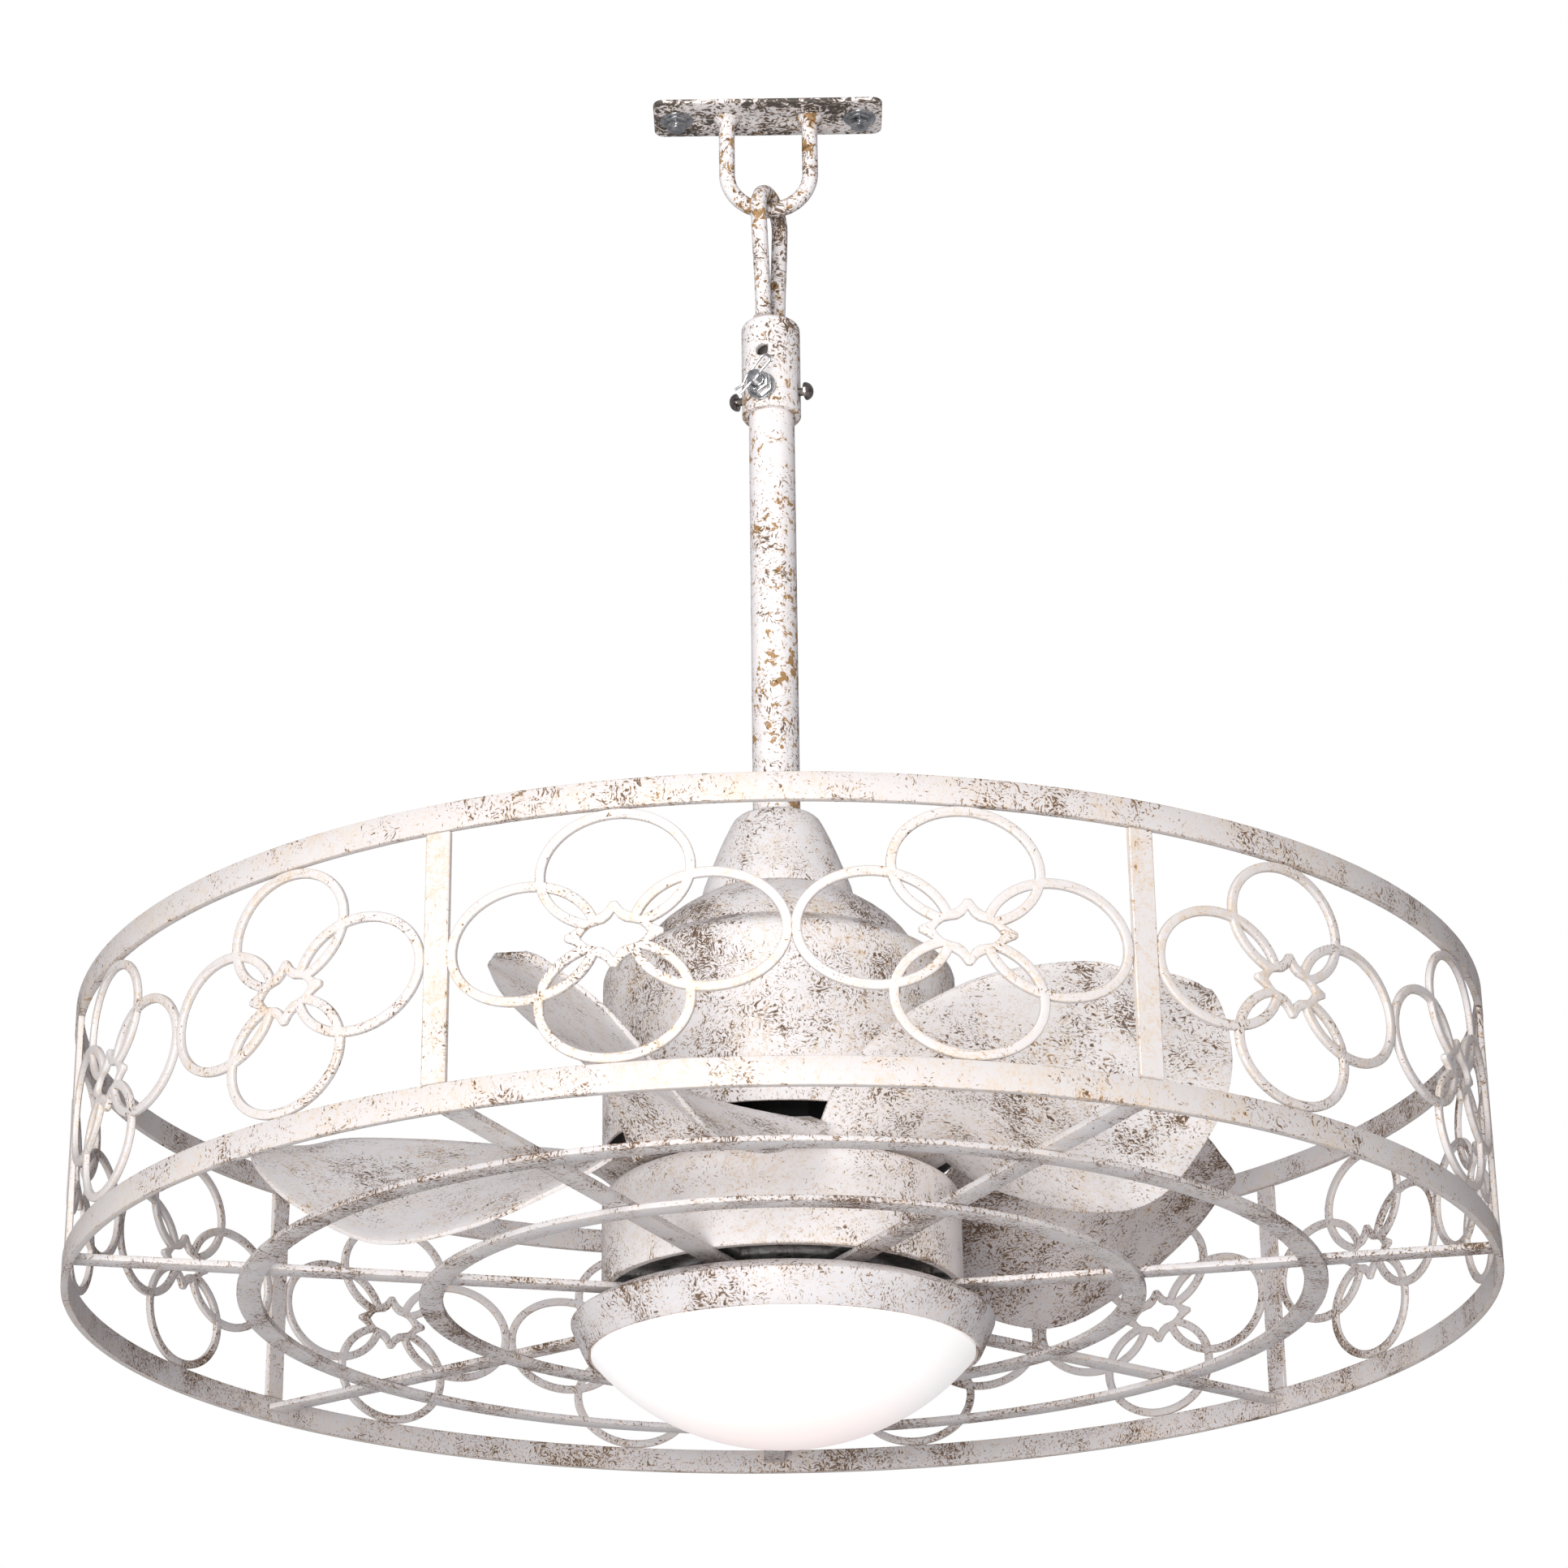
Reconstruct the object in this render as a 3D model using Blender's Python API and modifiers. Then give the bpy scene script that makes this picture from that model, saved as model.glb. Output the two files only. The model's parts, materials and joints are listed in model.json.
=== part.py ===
"""Chandelier ceiling fan: a caged five-blade fan with a bowl light, hung from a rod and loop.

Metres, +Z up. The origin is the centre of the ceiling plate's top face, so the fan hangs below z = 0.
The chain of levels runs down from there: hanger, eye, collar, rod, motor, cage and light.
"""
import math

import bmesh
import bpy
from mathutils import Matrix, Vector

# Driving sizes

touch_gap = 0.0003             # left between two pieces that touch
running_gap = 0.0025           # left between a turning piece and a fixed one

# Ceiling plate and hanger
bolt_spacing = 0.1108          # between the two ceiling bolts
plate_end_margin = 0.0136      # from a bolt's middle to the end of the plate
plate_length = bolt_spacing + 2 * plate_end_margin
plate_width = 0.038
plate_thickness = 0.003
plate_corner_radius = 0.008
bolt_diameter = 0.0079         # 5/16 in
bolt_head_width = 0.0127       # across the flats
bolt_head_height = 0.0053
bolt_hole_slack = 0.0004
washer_diameter = 0.0197
washer_thickness = 0.0016
hanger_rod_diameter = 0.0095   # 3/8 in round bar
hanger_width = 0.050           # between the centres of the two legs
hanger_drop = 0.0667           # ceiling face to the centre of the lowest bar
weld_leg = 0.0035              # fillet weld round each hanger leg

# Eye loop and collar
eye_length = 0.0891            # centre of the top bend to the collar's top
eye_width = 0.033              # between leg centres at the bend
eye_foot_width = 0.0215        # between leg centres at the collar
eye_azimuth = math.radians(252)
collar_diameter = 0.0345
collar_height = 0.061
collar_edge_radius = 0.003
collar_bore_depth = 0.047
collar_socket = 0.027          # depth to which the rod goes in
safety_hole_diameter = 0.0078
safety_hole_drop = 0.024       # below the collar's top
collar_bolt_drop = 0.049
set_screw_drop = 0.047
set_screw_diameter = 0.0048
set_screw_head_diameter = 0.0107
set_screw_head_height = 0.005
set_screw_stand_off = 0.0035   # bare shank between the collar and the head
nut_height = 0.0068
bolt_tail = 0.007              # bolt left standing beyond the nut
clip_wire_diameter = 0.0014
clip_length = 0.030
clip_width = 0.006
clip_tilt = math.radians(40)

# Rod
rod_diameter = 0.0267          # 3/4 in pipe
rod_wall = 0.0029
rod_length = 0.325
rod_play = 0.00025

# Coupler and cone cover
coupler_diameter = 0.036
coupler_height = 0.038
coupler_socket = 0.030
coupler_pin_diameter = 0.0064
coupler_pin_length = 0.046
coupler_pin_drop = 0.012       # below the coupler's top
cone_rise = 0.013              # cone cover's top above the coupler's top
cone_top_radius = 0.0215       # of the flat top, inside its rounded rim
cone_base_radius = 0.0425
cone_wall = 0.0014

# Motor
shaft_diameter = 0.016
shaft_bore = 0.009
cover_radius = 0.097
cover_height = 0.1447          # dome top to the lower edge
cover_wall = 0.0015
cover_flat_radius = 0.044      # where the dome starts to fall
crease_radius = 0.0786
crease_drop = 0.0327           # crease below the dome's top
shoulder_drop = 0.0457         # start of the straight side below the dome's top
stator_radius = 0.054
stator_height = 0.030
stator_drop = 0.080            # stator's top below the dome's top
stator_slots = 12
winding_height = 0.009         # end winding above and below the stack
magnet_thickness = 0.0045
bell_wall = 0.003
bell_headroom = 0.006
bearing_diameter = 0.032
bearing_height = 0.010

# Rotor gap, blades and their hub
blade_gap = 0.0205             # between the two housings
blade_count = 5
blade_azimuth = math.radians(311.8)
blade_thickness = 0.0024
blade_root_radius = 0.090
blade_tip_radius = 0.292
blade_lead_width = 0.046       # span line to leading edge
blade_trail_width = 0.080      # span line to trailing edge
blade_lead_rise = 0.053        # leading edge above its root
blade_trail_drop = 0.048       # trailing edge below its root
blade_lead_level = 0.0045      # leading root above the lower housing
blade_trail_level = 0.0125
blade_camber = 0.005
tab_setback = 0.011            # blade's root to its tab's outer edge
tab_length = 0.017
hub_core_setback = 0.004       # tab's inner edge to the hub's core
hub_flange_thickness = 0.003
clamp_thickness = 0.003
stud_diameter = 0.004          # two studs hold each blade
stud_angle = math.radians(14)

# Lower housing and cage hub
housing_height = 0.0567
housing_wall = 0.0015
housing_edge_radius = 0.009
housing_lip = 0.004
adapter_thickness = 0.003
shaft_nut_width = 0.024
shaft_nut_height = 0.006
shaft_tail = 0.003
box_length = 0.090
box_width = 0.036
box_height = 0.022
box_edge_radius = 0.002
hub_radius = 0.065
hub_boss_radius = 0.040
hub_bore_radius = 0.016
hub_screw_count = 2
hub_screw_diameter = 0.005
hub_screw_offset = 0.033       # fan axis to each screw
hub_screw_azimuth = math.radians(250)

# Cage
cage_radius = 0.381            # 30 in cage
cage_height = 0.1524
hoop_setback = 0.0027          # hoop's lower edge below the inner rings
hoop_height = 0.014
hoop_thickness = 0.004
bar_width = 0.0127             # 1/2 in flat bar
bar_thickness = 0.0032         # 1/8 in
panel_count = 7
first_upright_azimuth = math.radians(91.2)
ring_thickness = 0.003
ring_width = 0.0127
inner_ring_radius = 0.194
outer_ring_radius = 0.290

# Ornament, cut from sheet: four overlapping ovals round a star, two motifs to a panel
motif_band = 0.0047
oval_width = 0.0762            # over the outside
oval_height = 0.0604
star_width = 0.047             # tip to tip
star_height = 0.0328
weld_overlap = 0.0008          # where a motif is welded to its neighbour and to the upright

# Light
pan_height = 0.025
pan_top_radius = 0.102
pan_radius = 0.1134
pan_shoulder_drop = 0.0074
pan_lip_radius = 0.1044
pan_wall = 0.0014
pan_boss_radius = 0.024
pan_gap = 0.0062               # cage hub to the pan's top
bowl_depth = 0.047
bowl_neck_height = 0.010
bowl_wall = 0.003
board_radius = 0.080
board_thickness = 0.0016

# Facets
round_segments = 24
small_segments = 12
hoop_segments = 56
ring_segments = 42
oval_segments = 12
housing_segments = 28
light_segments = 32
stud_segments = 6
bend_steps = 9

# Levels, from the ceiling down

plate_bottom = -plate_thickness
pivot_level = -hanger_drop
eye_top = pivot_level + hanger_rod_diameter + touch_gap
collar_top = eye_top - eye_length
collar_bottom = collar_top - collar_height
rod_top = collar_bottom + collar_socket
rod_bottom = rod_top - rod_length
coupler_top = rod_bottom + coupler_socket
coupler_bottom = coupler_top - coupler_height
dome_top = coupler_bottom - touch_gap
cover_bottom = dome_top - cover_height
housing_top = cover_bottom - blade_gap
housing_bottom = housing_top - housing_height
adapter_bottom = housing_bottom + housing_wall + touch_gap
adapter_top = adapter_bottom + adapter_thickness
spoke_top = housing_bottom - touch_gap
spoke_bottom = spoke_top - bar_thickness
ring_top = spoke_bottom - touch_gap
cage_bottom = ring_top - ring_thickness - hoop_setback
cage_top = cage_bottom + cage_height
pan_top = spoke_bottom - pan_gap
pan_bottom = pan_top - pan_height
cage_inner_radius = cage_radius - hoop_thickness
cage_mid_radius = cage_radius - hoop_thickness / 2

tab_outer_radius = blade_root_radius - tab_setback
tab_inner_radius = tab_outer_radius - tab_length
hub_core_radius = tab_inner_radius - hub_core_setback

full_turn = 2 * math.pi
cut_overrun = 0.002            # how far every cutter runs past what it cuts
merge_distance = 0.00002
flat_angle = math.radians(1)


# Scene and materials

for item in list(bpy.data.objects):
    bpy.data.objects.remove(item, do_unlink=True)

parts = bpy.data.collections.new("chandelier_ceiling_fan")
cutters = bpy.data.collections.new("cutters")
bpy.context.scene.collection.children.link(parts)
bpy.context.scene.collection.children.link(cutters)


def material(name, colour, roughness, metallic):
    made = bpy.data.materials.new(name)
    made.use_nodes = True
    shader = made.node_tree.nodes["Principled BSDF"]
    shader.inputs["Base Color"].default_value = (*colour, 1)
    shader.inputs["Roughness"].default_value = roughness
    shader.inputs["Metallic"].default_value = metallic
    made.diffuse_color = (*colour, 1)
    return made


paint = material("distressed_white_paint", (0.78, 0.76, 0.74), 0.55, 0)
zinc = material("bright_zinc", (0.55, 0.55, 0.57), 0.3, 1)
nickel = material("dark_nickel", (0.2, 0.19, 0.18), 0.35, 1)
steel = material("machined_steel", (0.5, 0.5, 0.5), 0.4, 1)
lamination = material("stator_steel", (0.25, 0.25, 0.27), 0.5, 1)
copper = material("copper_wire", (0.7, 0.3, 0.15), 0.35, 1)
magnet = material("ferrite_magnet", (0.05, 0.05, 0.05), 0.7, 0)
plastic = material("black_plastic", (0.03, 0.03, 0.03), 0.5, 0)
board = material("white_led_board", (0.8, 0.8, 0.78), 0.4, 0)
opal = material("opal_glass", (0.95, 0.93, 0.9), 0.2, 0)


# Modelling helpers

def add_object(name, mesh, surface, collection=parts):
    made = bpy.data.objects.new(name, mesh)
    collection.objects.link(made)
    mesh.materials.clear()
    mesh.materials.append(surface)
    mesh.shade_smooth()
    mesh.set_sharp_from_angle(angle=math.radians(35))
    return made


def mesh_from(name, form):
    """Turn a bmesh into a mesh with its faces pointing out."""
    bmesh.ops.recalc_face_normals(form, faces=form.faces)
    mesh = bpy.data.meshes.new(name)
    form.to_mesh(mesh)
    form.free()
    return mesh


def evaluated(source):
    """The mesh of an object after its modifiers, in world space, with loose caps welded."""
    bpy.context.view_layer.update()
    graph = bpy.context.evaluated_depsgraph_get()
    mesh = bpy.data.meshes.new_from_object(source.evaluated_get(graph))
    mesh.transform(source.matrix_world)
    form = bmesh.new()
    form.from_mesh(mesh)
    bmesh.ops.remove_doubles(form, verts=form.verts, dist=merge_distance)
    form.to_mesh(mesh)
    form.free()
    return mesh


def settled(source):
    """Replace an object by its evaluated mesh, so that it can be cut or copied."""
    name = source.name
    surface = source.active_material
    collection = source.users_collection[0]
    mesh = evaluated(source)
    bpy.data.objects.remove(source, do_unlink=True)
    return add_object(name, mesh, surface, collection)


def turned(name, profile, surface, segments=round_segments, wall=None, closed=False, turn_start=0):
    """Spin a profile of (radius, level) points, listed down its outer side, about the Z axis."""
    mesh = bpy.data.meshes.new(name)
    points = [(radius, 0, level) for radius, level in profile]
    edges = [(index, index + 1) for index in range(len(points) - 1)]
    if closed:
        edges.append((len(points) - 1, 0))
    mesh.from_pydata(points, edges, [])
    made = add_object(name, mesh, surface)
    made.rotation_euler.z = turn_start
    screw = made.modifiers.new("turn", "SCREW")
    screw.angle = full_turn
    screw.steps = segments
    screw.render_steps = segments
    screw.use_merge_vertices = True
    screw.merge_threshold = merge_distance
    screw.use_smooth_shade = True
    if wall:
        skin = made.modifiers.new("wall", "SOLIDIFY")
        skin.thickness = wall
        skin.offset = -1
        skin.use_even_offset = True
    return made


def ring_profile(inner, outer, bottom, top):
    return [(outer, top), (outer, bottom), (inner, bottom), (inner, top)]


def rod_along(name, points, radius, surface, sides=2):
    """A round bar through a list of points."""
    curve = bpy.data.curves.new(name, "CURVE")
    curve.dimensions = "3D"
    curve.bevel_depth = radius
    curve.bevel_resolution = sides
    curve.use_fill_caps = True
    spline = curve.splines.new("POLY")
    spline.points.add(len(points) - 1)
    for index, place in enumerate(points):
        spline.points[index].co = (*place, 1)
    curve.materials.append(surface)
    made = bpy.data.objects.new(name, curve)
    parts.objects.link(made)
    return made


def flat_outline(name, outlines, thickness, surface):
    """A sheet cut to closed outlines of (x, y) points; an outline inside another is a hole."""
    curve = bpy.data.curves.new(name, "CURVE")
    curve.dimensions = "2D"
    curve.fill_mode = "BOTH"
    curve.extrude = thickness / 2
    for outline in outlines:
        spline = curve.splines.new("POLY")
        spline.points.add(len(outline) - 1)
        spline.use_cyclic_u = True
        for index, place in enumerate(outline):
            spline.points[index].co = (place[0], place[1], 0, 1)
    curve.materials.append(surface)
    made = bpy.data.objects.new(name, curve)
    parts.objects.link(made)
    return made


def towards(direction):
    """The rotation that turns +Z to a direction."""
    return Vector(direction).to_track_quat("Z", "Y").to_matrix().to_4x4()


def add_cylinder(form, place, direction, radius, length, segments=small_segments):
    """Add a closed cylinder that starts at a place and runs along a direction."""
    middle = Vector(place) + Vector(direction).normalized() * length / 2
    bmesh.ops.create_cone(form, cap_ends=True, segments=segments, radius1=radius, radius2=radius,
                          depth=length, matrix=Matrix.Translation(middle) @ towards(direction))


def hexagon_radius(width):
    return width / 2 / math.cos(math.pi / 6)


def block(name, size, place, surface, turn=0, rounding=None):
    """A rectangular piece with its place at its centre."""
    form = bmesh.new()
    bmesh.ops.create_cube(form, size=1, matrix=Matrix.Diagonal((*size, 1)))
    made = add_object(name, mesh_from(name, form), surface)
    made.location = place
    made.rotation_euler.z = turn
    if rounding:
        bevel = made.modifiers.new("edges", "BEVEL")
        bevel.width = rounding
        bevel.segments = 2
    return made


def cut(target, form, name):
    """Cut a bmesh of closed cutters out of a piece."""
    cutter = add_object(name + "_cutter", mesh_from(name, form), steel, cutters)
    cutter.hide_render = True
    cutter.display_type = "WIRE"
    boolean = target.modifiers.new(name, "BOOLEAN")
    boolean.operation = "DIFFERENCE"
    boolean.solver = "EXACT"
    boolean.object = cutter


def unite(target, other):
    """Join another piece to a piece as one body; the other stays as a guide."""
    parts.objects.unlink(other)
    cutters.objects.link(other)
    other.hide_render = True
    other.display_type = "WIRE"
    boolean = target.modifiers.new(other.name, "BOOLEAN")
    boolean.operation = "UNION"
    boolean.solver = "EXACT"
    boolean.object = other


def stacked(name, surface, cylinders):
    """One body of cylinders that overlap: (place, direction, radius, length, segments) each."""
    made = None
    for index, (place, direction, radius, length, segments) in enumerate(cylinders):
        form = bmesh.new()
        add_cylinder(form, place, direction, radius, length, segments)
        label = f"{name}_step_{index}" if made else name
        step = add_object(label, mesh_from(label, form), surface)
        if made:
            unite(made, step)
        else:
            made = step
    return made


def on_circle(radius, azimuth, level=0):
    return Vector((radius * math.cos(azimuth), radius * math.sin(azimuth), level))


def arc(centre, radius, start, end, steps):
    """Points of an arc in a plane, both ends included."""
    return [(centre[0] + radius * math.cos(start + (end - start) * step / steps),
             centre[1] + radius * math.sin(start + (end - start) * step / steps))
            for step in range(steps + 1)]


# Ceiling plate, its bolts and the hanger welded under it

def make_ceiling_plate():
    plate = block("ceiling_plate", (plate_length, plate_width, plate_thickness),
                  (0, 0, -plate_thickness / 2), paint)
    bevel = plate.modifiers.new("corners", "BEVEL")
    bevel.width = plate_corner_radius
    bevel.segments = 4
    bevel.limit_method = "WEIGHT"
    weights = plate.data.attributes.new("bevel_weight_edge", "FLOAT", "EDGE")
    for edge in plate.data.edges:
        first, second = (plate.data.vertices[index].co for index in edge.vertices)
        weights.data[edge.index].value = 1 if abs(first.z - second.z) > touch_gap else 0
    form = bmesh.new()
    for side in (-1, 1):
        add_cylinder(form, (side * bolt_spacing / 2, 0, plate_bottom - cut_overrun), (0, 0, 1),
                     bolt_diameter / 2 + bolt_hole_slack, plate_thickness + 2 * cut_overrun)
    cut(plate, form, "plate_holes")


def make_ceiling_bolts():
    """Each bolt has its washer pressed on under the head, and ends flush with the plate's top."""
    washer_top = plate_bottom - touch_gap
    head_top = washer_top - washer_thickness
    for side, name in ((-1, "ceiling_bolt_left"), (1, "ceiling_bolt_right")):
        place = Vector((side * bolt_spacing / 2, 0, 0))
        down = Vector((0, 0, -1))
        stacked(name, zinc, (
            (place, down, bolt_diameter / 2, bolt_head_height - head_top, small_segments),
            (place + down * -washer_top, down, washer_diameter / 2, washer_thickness, 20),
            (place + down * (washer_thickness / 2 - washer_top), down, hexagon_radius(bolt_head_width),
             washer_thickness / 2 + bolt_head_height, 6)))


def make_hanger():
    """A bar bent to a U, with a fillet weld where each leg meets the plate."""
    bend_radius = hanger_width / 2
    bend_level = pivot_level + bend_radius
    leg_top = plate_bottom - touch_gap
    points = [(-bend_radius, 0, leg_top)]
    points += [(x, 0, z) for x, z in arc((0, bend_level), bend_radius, math.pi, full_turn, bend_steps)]
    points.append((bend_radius, 0, leg_top))
    loop = settled(rod_along("hanger_loop", points, hanger_rod_diameter / 2, paint))
    for side in (-1, 1):
        form = bmesh.new()
        bmesh.ops.create_cone(form, cap_ends=True, segments=small_segments,
                              radius1=hanger_rod_diameter / 2, radius2=hanger_rod_diameter / 2 + weld_leg,
                              depth=weld_leg,
                              matrix=Matrix.Translation((side * bend_radius, 0, leg_top - weld_leg / 2)))
        unite(loop, add_object(f"hanger_weld_{side}", mesh_from("hanger_weld", form), paint))


# Eye loop, collar and its fasteners

def make_eye_loop():
    bend_radius = eye_width / 2
    bend_level = eye_top - bend_radius
    foot_level = collar_top + touch_gap
    outline = [(-eye_foot_width / 2, foot_level), (-eye_foot_width / 2, foot_level + hanger_rod_diameter)]
    outline += arc((0, bend_level), bend_radius, math.pi, 0, bend_steps)
    outline += [(eye_foot_width / 2, foot_level + hanger_rod_diameter), (eye_foot_width / 2, foot_level)]
    points = [on_circle(reach, eye_azimuth, level) for reach, level in outline]
    rod_along("eye_loop", points, hanger_rod_diameter / 2, paint)


def make_collar():
    radius = collar_diameter / 2
    bore = rod_diameter / 2 + rod_play
    edge = arc((radius - collar_edge_radius, collar_top - collar_edge_radius), collar_edge_radius,
               math.pi / 2, 0, 3)
    roof = collar_bottom + collar_bore_depth
    profile = [(0, collar_top)] + edge + [(radius, collar_bottom), (bore, collar_bottom), (bore, roof),
                                          (0, roof)]
    collar = turned("hanger_collar", profile, paint, 16)
    across = on_circle(1, eye_azimuth)
    along = on_circle(1, eye_azimuth - math.pi / 2)
    form = bmesh.new()
    reach = radius + cut_overrun
    add_cylinder(form, Vector((0, 0, collar_top - safety_hole_drop)), across,
                 safety_hole_diameter / 2, reach)
    add_cylinder(form, -across * reach + Vector((0, 0, collar_top - collar_bolt_drop)), across,
                 bolt_diameter / 2 + rod_play, 2 * reach)
    cut(collar, form, "collar_bores")
    form = bmesh.new()
    add_cylinder(form, -along * reach + Vector((0, 0, collar_top - set_screw_drop)), along,
                 set_screw_diameter / 2 + rod_play, 2 * reach)
    cut(collar, form, "set_screw_bores")


def make_collar_fasteners():
    level = Vector((0, 0, collar_top - collar_bolt_drop))
    across = on_circle(1, eye_azimuth)
    seat = collar_diameter / 2 + touch_gap
    washer_face = seat + washer_thickness + touch_gap
    nut_face = washer_face + nut_height
    bolt_end = nut_face + bolt_tail
    head_start = seat + bolt_head_height
    bolt = stacked("collar_bolt", zinc, (
        (level - across * head_start, across, hexagon_radius(bolt_head_width), bolt_head_height, 6),
        (level - across * (seat + bolt_head_height / 2), across, bolt_diameter / 2,
         seat + bolt_head_height / 2 + bolt_end, small_segments)))
    sideways = on_circle(1, eye_azimuth + math.pi / 2)
    upwards = Vector((0, 0, 1))
    run = sideways * math.cos(clip_tilt) + upwards * math.sin(clip_tilt)
    beside = upwards * math.cos(clip_tilt) - sideways * math.sin(clip_tilt)
    clip_reach = (nut_face + bolt_end) / 2
    form = bmesh.new()
    add_cylinder(form, level + across * clip_reach - run * bolt_diameter, run,
                 clip_wire_diameter / 2 + rod_play, 2 * bolt_diameter, 8)
    cut(bolt, form, "clip_hole")

    bore = bolt_diameter / 2 + rod_play
    nut = stacked("collar_nut", zinc, ((level + across * washer_face, across,
                                        hexagon_radius(bolt_head_width), nut_height, 6),))
    form = bmesh.new()
    add_cylinder(form, level + across * (washer_face - cut_overrun), across, bore,
                 nut_height + 2 * cut_overrun)
    cut(nut, form, "nut_bore")
    washer = stacked("collar_washer", zinc, ((level + across * seat, across, washer_diameter / 2,
                                              washer_thickness, 20),))
    form = bmesh.new()
    add_cylinder(form, level + across * (seat - cut_overrun), across, bore,
                 washer_thickness + 2 * cut_overrun)
    cut(washer, form, "washer_bore")

    # One leg of the clip goes through the bolt; the other hooks round it and flares.
    wire = clip_wire_diameter / 2
    place = level + across * clip_reach
    outer = bolt_diameter / 2 + wire + touch_gap
    top = clip_length / 2
    bend = arc((clip_width / 2, top - clip_width / 2), clip_width / 2, math.pi, 0, 6)
    outline = [(0, -top)] + bend
    outline += [(outer, clip_wire_diameter), (outer, -clip_wire_diameter),
                (clip_width / 2, -bolt_diameter), (clip_width, -top)]
    rod_along("hairpin_clip", [place + beside * x + run * along for x, along in outline], wire, zinc, 1)


def make_set_screws():
    level = Vector((0, 0, collar_top - set_screw_drop))
    seat = rod_diameter / 2 + touch_gap
    head_start = collar_diameter / 2 + set_screw_stand_off
    for side, name in ((-1, "set_screw_left"), (1, "set_screw_right")):
        outward = on_circle(1, eye_azimuth + side * math.pi / 2)
        stacked(name, nickel, (
            (level + outward * head_start, outward, set_screw_head_diameter / 2,
             set_screw_head_height, 16),
            (level + outward * seat, outward, set_screw_diameter / 2,
             head_start + set_screw_head_height / 2 - seat, small_segments)))


# Rod, coupler and cone cover

def make_downrod():
    inner = rod_diameter / 2 - rod_wall
    pipe = turned("downrod", ring_profile(inner, rod_diameter / 2, rod_bottom, rod_top), paint, 16,
                  closed=True)
    across = on_circle(1, eye_azimuth)
    reach = rod_diameter / 2 + cut_overrun
    form = bmesh.new()
    add_cylinder(form, -across * reach + Vector((0, 0, collar_top - collar_bolt_drop)), across,
                 bolt_diameter / 2 + rod_play, 2 * reach)
    add_cylinder(form, (-reach, 0, coupler_top - coupler_pin_drop), (1, 0, 0),
                 coupler_pin_diameter / 2 + rod_play, 2 * reach)
    cut(pipe, form, "rod_cross_holes")


def make_coupler():
    radius = coupler_diameter / 2
    rod_bore = rod_diameter / 2 + rod_play
    shaft_bore_radius = shaft_diameter / 2 + rod_play
    floor = rod_bottom - touch_gap
    profile = [(radius, coupler_top), (radius, coupler_bottom), (shaft_bore_radius, coupler_bottom),
               (shaft_bore_radius, floor), (rod_bore, floor), (rod_bore, coupler_top)]
    coupler = turned("motor_coupler", profile, steel, 16, closed=True)
    reach = radius + cut_overrun
    form = bmesh.new()
    add_cylinder(form, (-reach, 0, coupler_top - coupler_pin_drop), (1, 0, 0),
                 coupler_pin_diameter / 2 + rod_play, 2 * reach)
    cut(coupler, form, "pin_bore")
    form = bmesh.new()
    add_cylinder(form, (-coupler_pin_length / 2, 0, coupler_top - coupler_pin_drop), (1, 0, 0),
                 coupler_pin_diameter / 2, coupler_pin_length)
    add_object("coupler_pin", mesh_from("coupler_pin", form), zinc)


# Cone cover's side, from its flat top down: share of the height fallen, share of the widening done
cone_side_shares = [(0.03, 0.16), (0.10, 0.25), (0.45, 0.60), (0.65, 0.82), (0.84, 0.99), (1.0, 1.0)]


def make_cone_cover():
    top = coupler_top + cone_rise
    height = top - dome_top - touch_gap
    spread = cone_base_radius - cone_top_radius
    profile = [(rod_diameter / 2 + touch_gap, top), (cone_top_radius, top)]
    profile += [(cone_top_radius + spread * wide, top - height * fallen)
                for fallen, wide in cone_side_shares]
    turned("cone_cover", profile, paint, 24, wall=cone_wall)


# Motor: fixed cover, shaft, stator and bearings

# Shoulder of the cover, between the crease and the straight side: share out, share down
shoulder_shares = [(0.35, 0.28), (0.68, 0.55), (0.88, 0.76)]
# Dome between its flat top and the crease: share out, share down
dome_shares = [(0.45, 0.30), (0.78, 0.66)]


def make_motor_housing():
    opening = shaft_diameter / 2 + rod_play
    profile = [(opening, dome_top), (cover_flat_radius, dome_top)]
    profile += [(cover_flat_radius + (crease_radius - cover_flat_radius) * out,
                 dome_top - crease_drop * down) for out, down in dome_shares]
    profile.append((crease_radius, dome_top - crease_drop))
    profile += [(crease_radius + (cover_radius - crease_radius) * out,
                 dome_top - crease_drop - (shoulder_drop - crease_drop) * down)
                for out, down in shoulder_shares]
    profile += [(cover_radius, dome_top - shoulder_drop), (cover_radius, cover_bottom)]
    turned("motor_housing", profile, paint, housing_segments, wall=cover_wall)


stack_top = dome_top - stator_drop
stack_bottom = stack_top - stator_height
magnet_inner_radius = stator_radius + 0.0008
magnet_outer_radius = magnet_inner_radius + magnet_thickness
bell_inner_radius = magnet_outer_radius + touch_gap
bell_outer_radius = bell_inner_radius + bell_wall
bell_top = stack_top + winding_height + bell_headroom + bell_wall
bell_bottom = stack_bottom - winding_height - bell_headroom - bell_wall
shaft_top = rod_bottom - touch_gap - touch_gap
shaft_bottom = adapter_bottom - shaft_nut_height - shaft_tail


def make_motor_shaft():
    turned("motor_shaft", ring_profile(shaft_bore / 2, shaft_diameter / 2, shaft_bottom, shaft_top),
           steel, 20, closed=True)


stator_ring_share = 0.45
shoe_start_share = 0.93
tooth_width_share = 0.50
shoe_width_share = 0.86


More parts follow.
